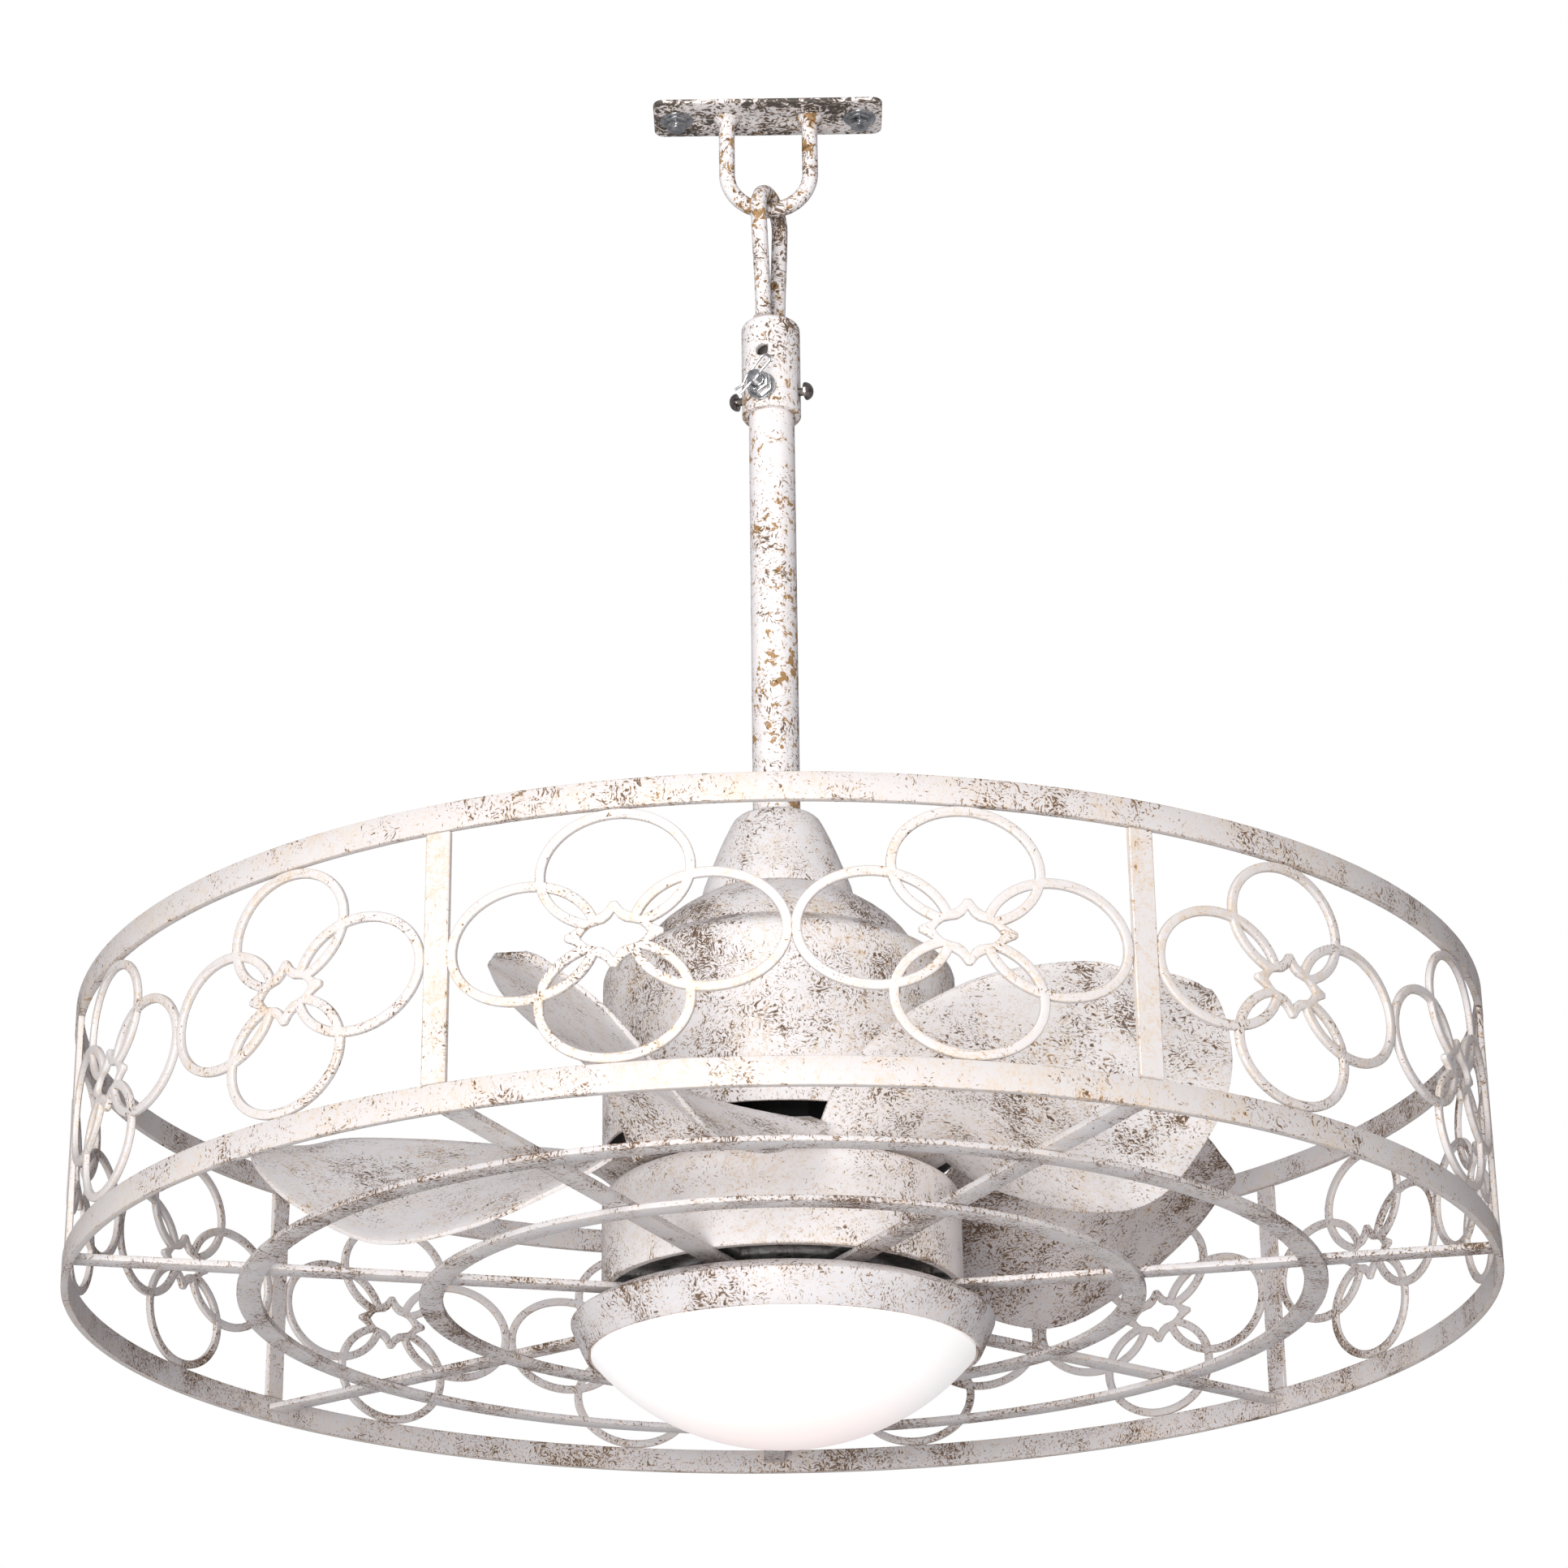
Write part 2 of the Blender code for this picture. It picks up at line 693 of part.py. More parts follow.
def make_stator():
    """A stack with a ring and teeth, and a coil round each tooth."""
    ring_inner = shaft_diameter / 2 + touch_gap
    ring_outer = stator_radius * stator_ring_share
    tooth_half = math.pi / stator_slots * tooth_width_share
    shoe_half = math.pi / stator_slots * shoe_width_share
    outline = []
    for slot in range(stator_slots):
        middle = full_turn * slot / stator_slots
        shoe_start = stator_radius * shoe_start_share
        neck = tooth_half * ring_outer / shoe_start
        for radius, turn in ((ring_outer, -tooth_half), (shoe_start, -neck), (shoe_start, -shoe_half),
                             (stator_radius, -shoe_half), (stator_radius, shoe_half),
                             (shoe_start, shoe_half), (shoe_start, neck), (ring_outer, tooth_half)):
            outline.append(on_circle(radius, middle + turn)[:2])
    hole = [on_circle(ring_inner, full_turn * step / small_segments)[:2]
            for step in range(small_segments)]
    core = flat_outline("stator_core", [outline, hole], stator_height, lamination)
    core.location.z = (stack_top + stack_bottom) / 2


def make_windings():
    """The coils, potted as one ring with a window for each tooth."""
    ring_outer = stator_radius * stator_ring_share
    half_height = stator_height / 2 + winding_height
    middle_level = (stack_top + stack_bottom) / 2
    windings = turned("stator_windings",
                      ring_profile(ring_outer + touch_gap * 2,
                                   stator_radius * shoe_start_share - touch_gap * 2,
                                   middle_level - half_height, middle_level + half_height),
                      copper, 24, closed=True)
    tooth = ring_outer * math.sin(math.pi / stator_slots * tooth_width_share) + touch_gap
    form = bmesh.new()
    for slot in range(stator_slots):
        turn = full_turn * slot / stator_slots
        size = Matrix.Diagonal((stator_radius, 2 * tooth, stator_height + 2 * touch_gap, 1))
        place = on_circle(ring_outer + stator_radius / 2 - cut_overrun, turn, middle_level)
        bmesh.ops.create_cube(form, size=1,
                              matrix=Matrix.Translation(place) @ Matrix.Rotation(turn, 4, "Z") @ size)
    cut(windings, form, "tooth_windows")


def make_bearings():
    inner = shaft_diameter / 2 + touch_gap
    outer = bearing_diameter / 2
    turned("upper_bearing", ring_profile(inner, outer, bell_top - bell_wall,
                                         bell_top - bell_wall + bearing_height), steel, 20,
           closed=True)
    turned("lower_bearing", ring_profile(inner, outer, bell_bottom + bell_wall - bearing_height,
                                         bell_bottom + bell_wall), steel, 20, closed=True)


# Rotor: bell, magnets, blade hub and blades

flange_top = housing_top + running_gap + hub_flange_thickness
tab_level = flange_top + touch_gap + blade_thickness / 2


def make_rotor():
    seat = bearing_diameter / 2 + touch_gap
    profile = [(seat, bell_top), (bell_outer_radius, bell_top), (bell_outer_radius, bell_bottom),
               (seat, bell_bottom), (seat, bell_bottom + bell_wall),
               (bell_inner_radius, bell_bottom + bell_wall), (bell_inner_radius, bell_top - bell_wall),
               (seat, bell_top - bell_wall)]
    turned("rotor_bell", profile, steel, closed=True)
    turned("magnet_ring", ring_profile(magnet_inner_radius, magnet_outer_radius, stack_bottom,
                                       stack_top), magnet, closed=True)

    neck_top = bell_bottom - touch_gap
    bore = bearing_diameter / 2 + touch_gap
    flange_bottom = flange_top - hub_flange_thickness
    profile = [(hub_core_radius, neck_top), (hub_core_radius, flange_top),
               (tab_outer_radius, flange_top), (tab_outer_radius, flange_bottom),
               (bore, flange_bottom), (bore, neck_top)]
    hub = turned("blade_hub", profile, plastic, closed=True)
    form = bmesh.new()
    for place in stud_places():
        add_cylinder(form, place + Vector((0, 0, flange_bottom - cut_overrun)), (0, 0, 1),
                     stud_diameter / 2 + touch_gap, hub_flange_thickness + 2 * cut_overrun, stud_segments)
    cut(hub, form, "stud_holes")


def stud_places():
    radius = (tab_inner_radius + tab_outer_radius) / 2
    for index in range(blade_count):
        middle = blade_azimuth + full_turn * index / blade_count
        for side in (-1, 1):
            yield on_circle(radius, middle + side * stud_angle)


# Blade stations from root to tip, as shares: span, leading width, leading rise, trailing width, drop
blade_station_shares = [
    (0.00, 0.97, 0.00, 0.73, 0.00),
    (0.08, 0.98, 0.45, 0.90, 0.19),
    (0.20, 0.96, 0.75, 0.94, 0.52),
    (0.40, 1.00, 0.91, 1.00, 0.92),
    (0.60, 0.85, 1.00, 1.00, 1.00),
    (0.80, 0.43, 1.00, 0.92, 0.46),
    (0.93, -0.02, 0.89, 0.69, -0.21),
    (1.00, -0.26, 0.83, 0.20, -0.71),
]
blade_columns = 5


def blade_point(station, across):
    """A point of the blade's middle surface; across runs from 0, leading, to 1, trailing."""
    span, lead, rise, trail, drop = station
    lead_offset = blade_lead_width * lead
    trail_offset = -blade_trail_width * trail
    lead_level = housing_top + blade_lead_level + blade_lead_rise * rise
    trail_level = housing_top + blade_trail_level - blade_trail_drop * drop
    offset = lead_offset + (trail_offset - lead_offset) * across
    level = lead_level + (trail_level - lead_level) * across
    level += blade_camber * 4 * across * (1 - across) * 4 * span * (1 - span)
    reach = blade_root_radius + (blade_tip_radius - blade_root_radius) * span
    if abs(offset) < blade_root_radius:
        hollow = blade_root_radius - math.sqrt(blade_root_radius ** 2 - offset ** 2)
        reach -= hollow * (1 - span) ** 2
    return Vector((reach, -offset, level))


def make_blades():
    root = blade_station_shares[0]
    lead_angle = math.asin(blade_lead_width * root[1] / blade_root_radius)
    trail_angle = math.asin(blade_trail_width * root[3] / blade_root_radius)
    rows = []
    for radius in (tab_inner_radius, tab_outer_radius + touch_gap):
        row = []
        for column in range(blade_columns + 1):
            turn = -lead_angle + (lead_angle + trail_angle) * column / blade_columns
            row.append(on_circle(radius, turn, tab_level))
        rows.append(row)
    for station in blade_station_shares:
        rows.append([blade_point(station, column / blade_columns)
                     for column in range(blade_columns + 1)])
    form = bmesh.new()
    grid = [[form.verts.new(place) for place in row] for row in rows]
    for upper, lower in zip(grid[:-1], grid[1:]):
        for column in range(blade_columns):
            form.faces.new((upper[column], lower[column], lower[column + 1], upper[column + 1]))
    mesh = bpy.data.meshes.new("blade")
    form.to_mesh(mesh)
    form.free()
    pattern = add_object("blade_pattern", mesh, paint)
    pattern.rotation_euler.z = blade_azimuth
    skin = pattern.modifiers.new("wall", "SOLIDIFY")
    skin.thickness = blade_thickness
    skin.offset = 0
    skin.use_even_offset = True
    form = bmesh.new()
    radius = (tab_inner_radius + tab_outer_radius) / 2
    for side in (-1, 1):
        place = on_circle(radius, blade_azimuth + side * stud_angle, tab_level - blade_thickness)
        add_cylinder(form, place, (0, 0, 1), stud_diameter / 2 + touch_gap, 2 * blade_thickness,
                     stud_segments)
    cut(pattern, form, "blade_stud_holes")
    mesh = evaluated(pattern)
    bpy.data.objects.remove(pattern, do_unlink=True)
    for index in range(blade_count):
        blade = add_object(f"blade_{index + 1}", mesh, paint)
        blade.rotation_euler.z = full_turn * index / blade_count


def make_clamp_ring():
    """A ring over the five blade tabs, with pressed studs that go down through them into the hub."""
    ring_bottom = tab_level + blade_thickness / 2 + touch_gap
    ring = turned("blade_clamp_ring", ring_profile(tab_inner_radius, tab_outer_radius, ring_bottom,
                                                   ring_bottom + clamp_thickness), steel, closed=True)
    stud_bottom = flange_top - hub_flange_thickness
    for index, place in enumerate(stud_places()):
        form = bmesh.new()
        add_cylinder(form, place + Vector((0, 0, stud_bottom)), (0, 0, 1), stud_diameter / 2,
                     ring_bottom + clamp_thickness / 2 - stud_bottom, stud_segments)
        unite(ring, add_object(f"blade_stud_{index}", mesh_from("blade_stud", form), steel))


# Lower housing, adapter plate and what they hold

def make_lower_housing():
    opening = shaft_diameter / 2 + rod_play
    edge = arc((cover_radius - housing_edge_radius, housing_top - housing_edge_radius),
               housing_edge_radius, math.pi / 2, 0, 3)
    profile = [(opening, housing_top)] + edge
    profile += [(cover_radius, housing_bottom), (cover_radius - housing_lip, housing_bottom)]
    turned("lower_housing", profile, paint, housing_segments, wall=housing_wall)


def hub_screw_places():
    return [on_circle(hub_screw_offset, hub_screw_azimuth + full_turn * index / hub_screw_count)
            for index in range(hub_screw_count)]


def make_adapter():
    """A plate on the housing's lip, held by the nut on the shaft; it carries the cage and light."""
    outer = (cover_radius - housing_wall) * math.cos(math.pi / housing_segments) - touch_gap
    bore = shaft_diameter / 2 + touch_gap
    plate = turned("adapter_plate", ring_profile(bore, outer, adapter_bottom, adapter_top), zinc,
                   housing_segments,
                   closed=True)
    form = bmesh.new()
    for place in hub_screw_places():
        add_cylinder(form, place + Vector((0, 0, adapter_bottom - cut_overrun)), (0, 0, 1),
                     hub_screw_diameter / 2 + touch_gap, adapter_thickness + 2 * cut_overrun, 8)
    cut(plate, form, "adapter_holes")
    nut_bottom = adapter_bottom - touch_gap - shaft_nut_height
    nut = stacked("shaft_nut", zinc, (((0, 0, nut_bottom), (0, 0, 1),
                                       hexagon_radius(shaft_nut_width), shaft_nut_height, 6),))
    form = bmesh.new()
    add_cylinder(form, (0, 0, nut_bottom - cut_overrun), (0, 0, 1), bore,
                 shaft_nut_height + 2 * cut_overrun, 20)
    cut(nut, form, "shaft_nut_bore")
    box_offset = shaft_nut_width / 2 + box_width / 2
    block("driver_box", (box_length, box_width, box_height),
          (0, box_offset, adapter_top + touch_gap + box_height / 2), plastic, rounding=box_edge_radius)


# Cage

def make_cage_hub():
    boss_top = adapter_bottom - touch_gap
    profile = [(hub_boss_radius, boss_top), (hub_boss_radius, spoke_top), (hub_radius, spoke_top),
               (hub_radius, spoke_bottom), (hub_bore_radius, spoke_bottom), (hub_bore_radius, boss_top)]
    hub = turned("cage_hub", profile, paint, 4 * panel_count, closed=True,
                 turn_start=first_upright_azimuth)
    form = bmesh.new()
    for place in hub_screw_places():
        add_cylinder(form, place + Vector((0, 0, spoke_bottom - cut_overrun)), (0, 0, 1),
                     hub_screw_diameter / 2 + touch_gap, boss_top - spoke_bottom + 2 * cut_overrun, 8)
    cut(hub, form, "hub_screw_bores")
    head_top = spoke_bottom - touch_gap
    for index, place in enumerate(hub_screw_places()):
        head = place + Vector((0, 0, head_top - hub_screw_diameter / 2))
        stacked(f"hub_screw_{index + 1}", zinc, (
            (head, (0, 0, 1), hub_screw_diameter, hub_screw_diameter / 2, small_segments),
            (head + Vector((0, 0, hub_screw_diameter / 4)), (0, 0, 1), hub_screw_diameter / 2,
             adapter_top - head_top + hub_screw_diameter / 4, 8)))


def make_spokes():
    start = hub_radius + touch_gap
    end = cage_inner_radius * math.cos(math.pi / hoop_segments) - touch_gap
    for index in range(panel_count):
        azimuth = first_upright_azimuth + full_turn * index / panel_count
        block(f"spoke_{index + 1}", (end - start, bar_width, bar_thickness),
              on_circle((start + end) / 2, azimuth, (spoke_top + spoke_bottom) / 2), paint, azimuth)


def make_rings():
    for name, radius in (("inner_ring_small", inner_ring_radius), ("inner_ring_large", outer_ring_radius)):
        turned(name, ring_profile(radius - ring_width, radius, ring_top - ring_thickness, ring_top),
               paint, ring_segments, closed=True, turn_start=first_upright_azimuth)


def make_hoops():
    for name, bottom in (("bottom_hoop", cage_bottom), ("top_hoop", cage_top - hoop_height)):
        turned(name, ring_profile(cage_inner_radius, cage_radius, bottom, bottom + hoop_height),
               paint, hoop_segments, closed=True, turn_start=first_upright_azimuth)


# Star frame, one quarter from its upper tip to its side tip, as shares of half its width and height
star_outer_shares = [(0.07, 1.0), (0.18, 0.74), (0.43, 0.57), (0.73, 0.28), (0.86, 0.16), (1.0, 0.09)]
star_inner_shares = [(0.0, 0.67), (0.21, 0.37), (0.50, 0.27), (0.68, 0.0)]


def whole_star(quarter, centre):
    """Mirror a quarter outline into a closed one, running round through all four quarters."""
    points = []
    for right, up, order in ((1, 1, 1), (1, -1, -1), (-1, -1, 1), (-1, 1, -1)):
        for across, rise in quarter[::order]:
            place = (centre + across * star_width / 2 * right, rise * star_height / 2 * up)
            if not points or (Vector(place) - Vector(points[-1])).length > merge_distance:
                points.append(place)
    if (Vector(points[0]) - Vector(points[-1])).length < merge_distance:
        points.pop()
    return points


def oval(centre, inset):
    """An oval outline; an inset one is the inner edge of the band."""
    turns = [full_turn * step / oval_segments for step in range(oval_segments)]
    return [(centre[0] + (oval_width / 2 - inset) * math.cos(turn),
             centre[1] + (oval_height / 2 - inset) * math.sin(turn)) for turn in turns]


def make_panels():
    """An upright with two motifs welded to it, cut flat and rolled to the cage's radius."""
    half_height = cage_height / 2 - hoop_height - touch_gap
    free_arc = full_turn * cage_mid_radius / panel_count - bar_width
    motif_width = (free_arc - touch_gap + 2 * weld_overlap) / 2
    rise = half_height - oval_height / 2
    reach = motif_width / 2 - oval_width / 2
    flat = block("cage_panel", (bar_width, 2 * half_height, bar_thickness), (0, 0, 0), paint)
    stars = []
    for motif in range(2):
        middle = bar_width / 2 - weld_overlap + motif_width / 2 + motif * (motif_width - weld_overlap)
        for centre in ((middle, rise), (middle + reach, 0), (middle, -rise), (middle - reach, 0)):
            ring = flat_outline("oval", [oval(centre, 0), oval(centre, motif_band)], bar_thickness, paint)
            unite(flat, settled(ring))
        frame = flat_outline("star", [whole_star(star_outer_shares, middle)], bar_thickness, paint)
        unite(flat, settled(frame))
        stars.append(whole_star(star_inner_shares, middle))
    hole = settled(flat_outline("star_holes", stars, bar_thickness + 2 * cut_overrun, paint))
    unite(flat, hole)
    flat.modifiers[-1].operation = "DIFFERENCE"
    pattern = evaluated(flat)
    bpy.data.objects.remove(flat, do_unlink=True)

    form = bmesh.new()
    form.from_mesh(pattern)
    bmesh.ops.dissolve_limit(form, angle_limit=flat_angle, verts=form.verts, edges=form.edges)
    bmesh.ops.triangulate(form, faces=form.faces)
    middle_level = (cage_bottom + cage_top) / 2
    for vertex in form.verts:
        along, rise, depth = vertex.co
        vertex.co = on_circle(cage_mid_radius + depth, along / cage_mid_radius, middle_level + rise)
    panel = mesh_from("cage_panel", form)
    for index in range(panel_count):
        made = add_object(f"cage_panel_{index + 1}", panel, paint)
        made.rotation_euler.z = first_upright_azimuth + full_turn * index / panel_count


# Light

def make_light():
    boss_top = spoke_bottom - touch_gap
    profile = [(hub_bore_radius, boss_top), (pan_boss_radius, boss_top), (pan_boss_radius, pan_top),
               (pan_top_radius, pan_top), (pan_radius, pan_top - pan_shoulder_drop),
               (pan_lip_radius, pan_bottom)]
    turned("light_pan", profile, paint, light_segments, wall=pan_wall)
    board_top = pan_top - pan_wall - touch_gap
    turned("led_board", ring_profile(hub_bore_radius, board_radius, board_top - board_thickness,
                                     board_top), board, closed=True)

    # The pan's lower wall leans in, so its inner edge lies less than a wall inside the lip.
    lean = math.atan2(pan_radius - pan_lip_radius, pan_height - pan_shoulder_drop)
    lip_inner_radius = pan_lip_radius - pan_wall * math.cos(lean)
    neck_radius = lip_inner_radius * math.cos(math.pi / light_segments) - touch_gap
    sphere_radius = (neck_radius ** 2 + bowl_depth ** 2) / (2 * bowl_depth)
    half_angle = math.asin(neck_radius / sphere_radius)
    centre_level = pan_bottom - bowl_depth + sphere_radius
    cap = [(sphere_radius * math.sin(half_angle * share),
            centre_level - sphere_radius * math.cos(half_angle * share))
           for share in (1, 0.8, 0.6, 0.4, 0.2)]
    profile = [(neck_radius, pan_bottom + bowl_neck_height)] + cap + [(0, pan_bottom - bowl_depth)]
    turned("glass_bowl", profile, opal, light_segments, wall=bowl_wall)


make_ceiling_plate()
make_ceiling_bolts()
make_hanger()
make_eye_loop()
make_collar()
make_collar_fasteners()
make_set_screws()
make_downrod()
make_coupler()
make_cone_cover()
make_motor_housing()
make_motor_shaft()
make_stator()
make_windings()
make_bearings()
make_rotor()
make_blades()
make_clamp_ring()
make_lower_housing()
make_adapter()
make_cage_hub()
make_spokes()
make_rings()
make_hoops()
make_panels()
make_light()

# Joint frames: the swing about the hanger's lowest bar, the rotor's axis and the bowl's twist


def joint_frame(name, level, parent, children):
    empty = bpy.data.objects.new(name, None)
    empty.location.z = level
    parts.objects.link(empty)
    bpy.context.view_layer.update()
    if parent:
        empty.parent = parent
        empty.matrix_parent_inverse = parent.matrix_world.inverted()
    bpy.context.view_layer.update()
    for child in children:
        child.parent = empty
        child.matrix_parent_inverse = empty.matrix_world.inverted()
    return empty


fixed_names = ("ceiling_plate", "ceiling_bolt_left", "ceiling_bolt_right", "hanger_loop")
rotor_names = ("rotor_bell", "magnet_ring", "upper_bearing", "lower_bearing", "blade_hub",
               "blade_clamp_ring", *(f"blade_{index + 1}" for index in range(blade_count)))
hanging = [item for item in parts.objects if item.name not in fixed_names + rotor_names + ("glass_bowl",)]
swing = joint_frame("swing_axis", pivot_level, None, hanging)
joint_frame("rotor_axis", tab_level, swing, [parts.objects[name] for name in rotor_names])
joint_frame("bowl_axis", pan_bottom, swing, [parts.objects["glass_bowl"]])
bpy.context.view_layer.update()
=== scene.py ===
"""A chandelier ceiling fan dressed for its picture, over the frame of its solids.

Metres, +Z up. The ceiling is at z = 0 and the fan hangs below it, seen from in front and below.
"""

import math

import bpy
from mathutils import Matrix, Vector
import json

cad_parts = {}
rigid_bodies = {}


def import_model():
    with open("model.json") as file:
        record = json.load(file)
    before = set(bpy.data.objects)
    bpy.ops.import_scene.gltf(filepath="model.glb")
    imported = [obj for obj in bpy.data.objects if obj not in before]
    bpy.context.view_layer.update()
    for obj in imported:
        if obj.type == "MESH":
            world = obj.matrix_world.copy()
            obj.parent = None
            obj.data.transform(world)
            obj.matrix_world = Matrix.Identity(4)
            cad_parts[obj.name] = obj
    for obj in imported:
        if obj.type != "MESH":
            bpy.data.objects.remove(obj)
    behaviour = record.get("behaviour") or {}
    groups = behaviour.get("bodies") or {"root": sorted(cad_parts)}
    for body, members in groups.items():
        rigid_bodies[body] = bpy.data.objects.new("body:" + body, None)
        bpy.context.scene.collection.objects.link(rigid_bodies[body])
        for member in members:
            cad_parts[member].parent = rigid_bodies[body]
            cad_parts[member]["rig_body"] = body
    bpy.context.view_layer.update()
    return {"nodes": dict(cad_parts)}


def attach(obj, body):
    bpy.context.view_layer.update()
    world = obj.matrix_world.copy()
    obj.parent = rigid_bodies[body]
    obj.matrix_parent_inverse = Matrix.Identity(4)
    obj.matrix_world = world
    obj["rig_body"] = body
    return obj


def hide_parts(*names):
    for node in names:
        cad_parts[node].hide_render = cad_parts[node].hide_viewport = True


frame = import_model()


# Ceiling plate: 3 mm steel bar, cut with round corners and drilled for two bolts.
# It is painted white over brown primer and rubbed back, as all the painted pieces are.
# It was rubbed hardest, so it looks more brown than white.

def linear(colour):
    """A colour such as F1EEEC as the linear values that a shader takes."""
    channels = [int(colour[place:place + 2], 16) / 255 for place in (0, 2, 4)]
    return (*(c / 12.92 if c < 0.04045 else ((c + 0.055) / 1.055) ** 2.4 for c in channels), 1)


def add_node(tree, kind, inputs=None, **settings):
    """Add a node, such as a TexNoise; an input is a socket to link or a value to set."""
    node = tree.nodes.new("ShaderNode" + kind)
    for name, value in settings.items():
        setattr(node, name, value)
    for name, value in (inputs or {}).items():
        if isinstance(value, bpy.types.NodeSocket):
            tree.links.new(value, node.inputs[name])
        else:
            node.inputs[name].default_value = value
    return node


def new_material(name):
    """A new material, its node tree and the shader in it."""
    made = bpy.data.materials.new(name)
    made.use_nodes = True
    return made, made.node_tree, made.node_tree.nodes["Principled BSDF"]


def rubbed_paint(name, brown, flakes, haze, grey, seed, worn=0.6, fine=1.0, coat="F9F5F4",
                 ink="553B20"):
    """White paint rubbed back: brown dashes in clusters, gold flakes, a gold haze and worn edges.

    Brown, flakes, haze and worn say how much of each shows, and grey how dull the white is where
    the dashes gather. The seed moves the pattern, and a fine below 1 makes the dashes longer and
    wider. The coat is the clean paint and ink is the darkest brown under it.
    """
    made, tree, shader = new_material(name)

    # Object coordinates in millimetres, and a copy bent by a few of them to curve the dashes.
    place = add_node(tree, "TexCoord").outputs["Object"]
    mm = add_node(tree, "Mapping",
                  {"Vector": place, "Location": (seed, 2 * seed, 3 * seed),
                   "Scale": (1000, 1000, 1000)}).outputs[0]
    sway = add_node(tree, "TexNoise", {"Vector": mm, "Scale": 1 / 9, "Detail": 1})
    bent = add_node(tree, "VectorMath",
                    {0: sway.outputs["Color"], 1: (9, 9, 9), 2: mm}, operation="MULTIPLY_ADD")

    # Where the cloth rubbed hardest: clusters a few centimetres wide in broad regions.
    clusters = add_node(tree, "TexNoise",
                        {"Vector": mm, "Scale": 1 / 27, "Detail": 4, "Roughness": 0.62})
    regions = add_node(tree, "TexNoise", {"Vector": mm, "Scale": 1 / 120, "Detail": 1})
    hard = add_node(tree, "Math",
                    {0: regions.outputs[0], 1: 0.55, 2: clusters.outputs[0]},
                    operation="MULTIPLY_ADD")

    # Edges: where the surface turns within a millimetre or so, more here and less there.
    rounded = add_node(tree, "Bevel", {"Radius": 0.0012})
    surface = add_node(tree, "NewGeometry")
    alike = add_node(tree, "VectorMath",
                     {0: rounded.outputs[0], 1: surface.outputs["Normal"]}, operation="DOT_PRODUCT")
    turned = add_node(tree, "MapRange",
                      {"Value": alike.outputs["Value"], "From Min": 0.99, "From Max": 0.82})
    patchy = add_node(tree, "MapRange",
                      {"Value": clusters.outputs[0], "From Min": 0.36, "From Max": 0.62,
                       "To Min": 0.15 * worn, "To Max": worn})
    edge = add_node(tree, "Math", {0: turned.outputs[0], 1: patchy.outputs[0]},
                    operation="MULTIPLY")

    # Dashes half a millimetre wide and two long, in two directions that take turns.
    dashes = []
    ways = (((0.5, 0.6, 0.3), (0.95, 0.95, 0.34)), ((-0.8, 0.4, 1.2), (0.34, 0.95, 0.95)))
    for lean, stretch in ways:
        along = add_node(tree, "Mapping",
                         {"Vector": bent.outputs[0], "Rotation": lean,
                          "Scale": [pace * fine for pace in stretch]})
        dashes.append(add_node(tree, "TexNoise",
                               {"Vector": along.outputs[0], "Scale": 1, "Detail": 3, "Roughness": 0.6,
                                "Distortion": 0.25}))
    turn_about = add_node(tree, "TexNoise", {"Vector": mm, "Scale": 1 / 7, "Detail": 1})
    which = add_node(tree, "MapRange",
                     {"Value": turn_about.outputs[0], "From Min": 0.47, "From Max": 0.53})
    strokes = add_node(tree, "Mix", {0: which.outputs[0], 2: dashes[0].outputs[0],
                                               3: dashes[1].outputs[0]})
    pull = add_node(tree, "Math", {0: hard.outputs[0], 1: 0.56, 2: strokes.outputs[0]},
                    operation="MULTIPLY_ADD")
    rub = add_node(tree, "Math", {0: edge.outputs[0], 1: 0.21, 2: pull.outputs[0]},
                   operation="MULTIPLY_ADD")
    level = 1.17 - 0.16 * brown
    chips = add_node(tree, "MapRange",
                     {"Value": rub.outputs[0], "From Min": level - 0.02, "From Max": level + 0.09})

    # Gold flakes 3 to 6 mm wide with ragged outlines, in clusters of their own.
    ragged = add_node(tree, "TexNoise",
                      {"Vector": bent.outputs[0], "Scale": 1 / 6.0, "Detail": 5, "Roughness": 0.66})
    spots = add_node(tree, "TexNoise",
                     {"Vector": mm, "Scale": 1 / 40, "Detail": 2, "W": 3.1}, noise_dimensions="4D")
    golden = add_node(tree, "Math", {0: spots.outputs[0], 1: 0.6, 2: ragged.outputs[0]},
                      operation="MULTIPLY_ADD")
    golden = add_node(tree, "Math", {0: strokes.outputs[0], 1: 0.3, 2: golden.outputs[0]},
                      operation="MULTIPLY_ADD")
    line = 1.20 - 0.19 * flakes
    flake = add_node(tree, "MapRange",
                     {"Value": golden.outputs[0], "From Min": line, "From Max": line + 0.035})
    mist = add_node(tree, "Math", {0: golden.outputs[0], 1: strokes.outputs[0]},
                    operation="ADD")
    glow = add_node(tree, "MapRange",
                    {"Value": mist.outputs[0], "From Min": 1.42, "From Max": 1.78, "To Min": 0,
                     "To Max": 0.75 * haze})
    warm = add_node(tree, "Math", {0: edge.outputs[0], 1: 0.75, 2: glow.outputs[0]},
                    operation="MULTIPLY_ADD", use_clamp=True)

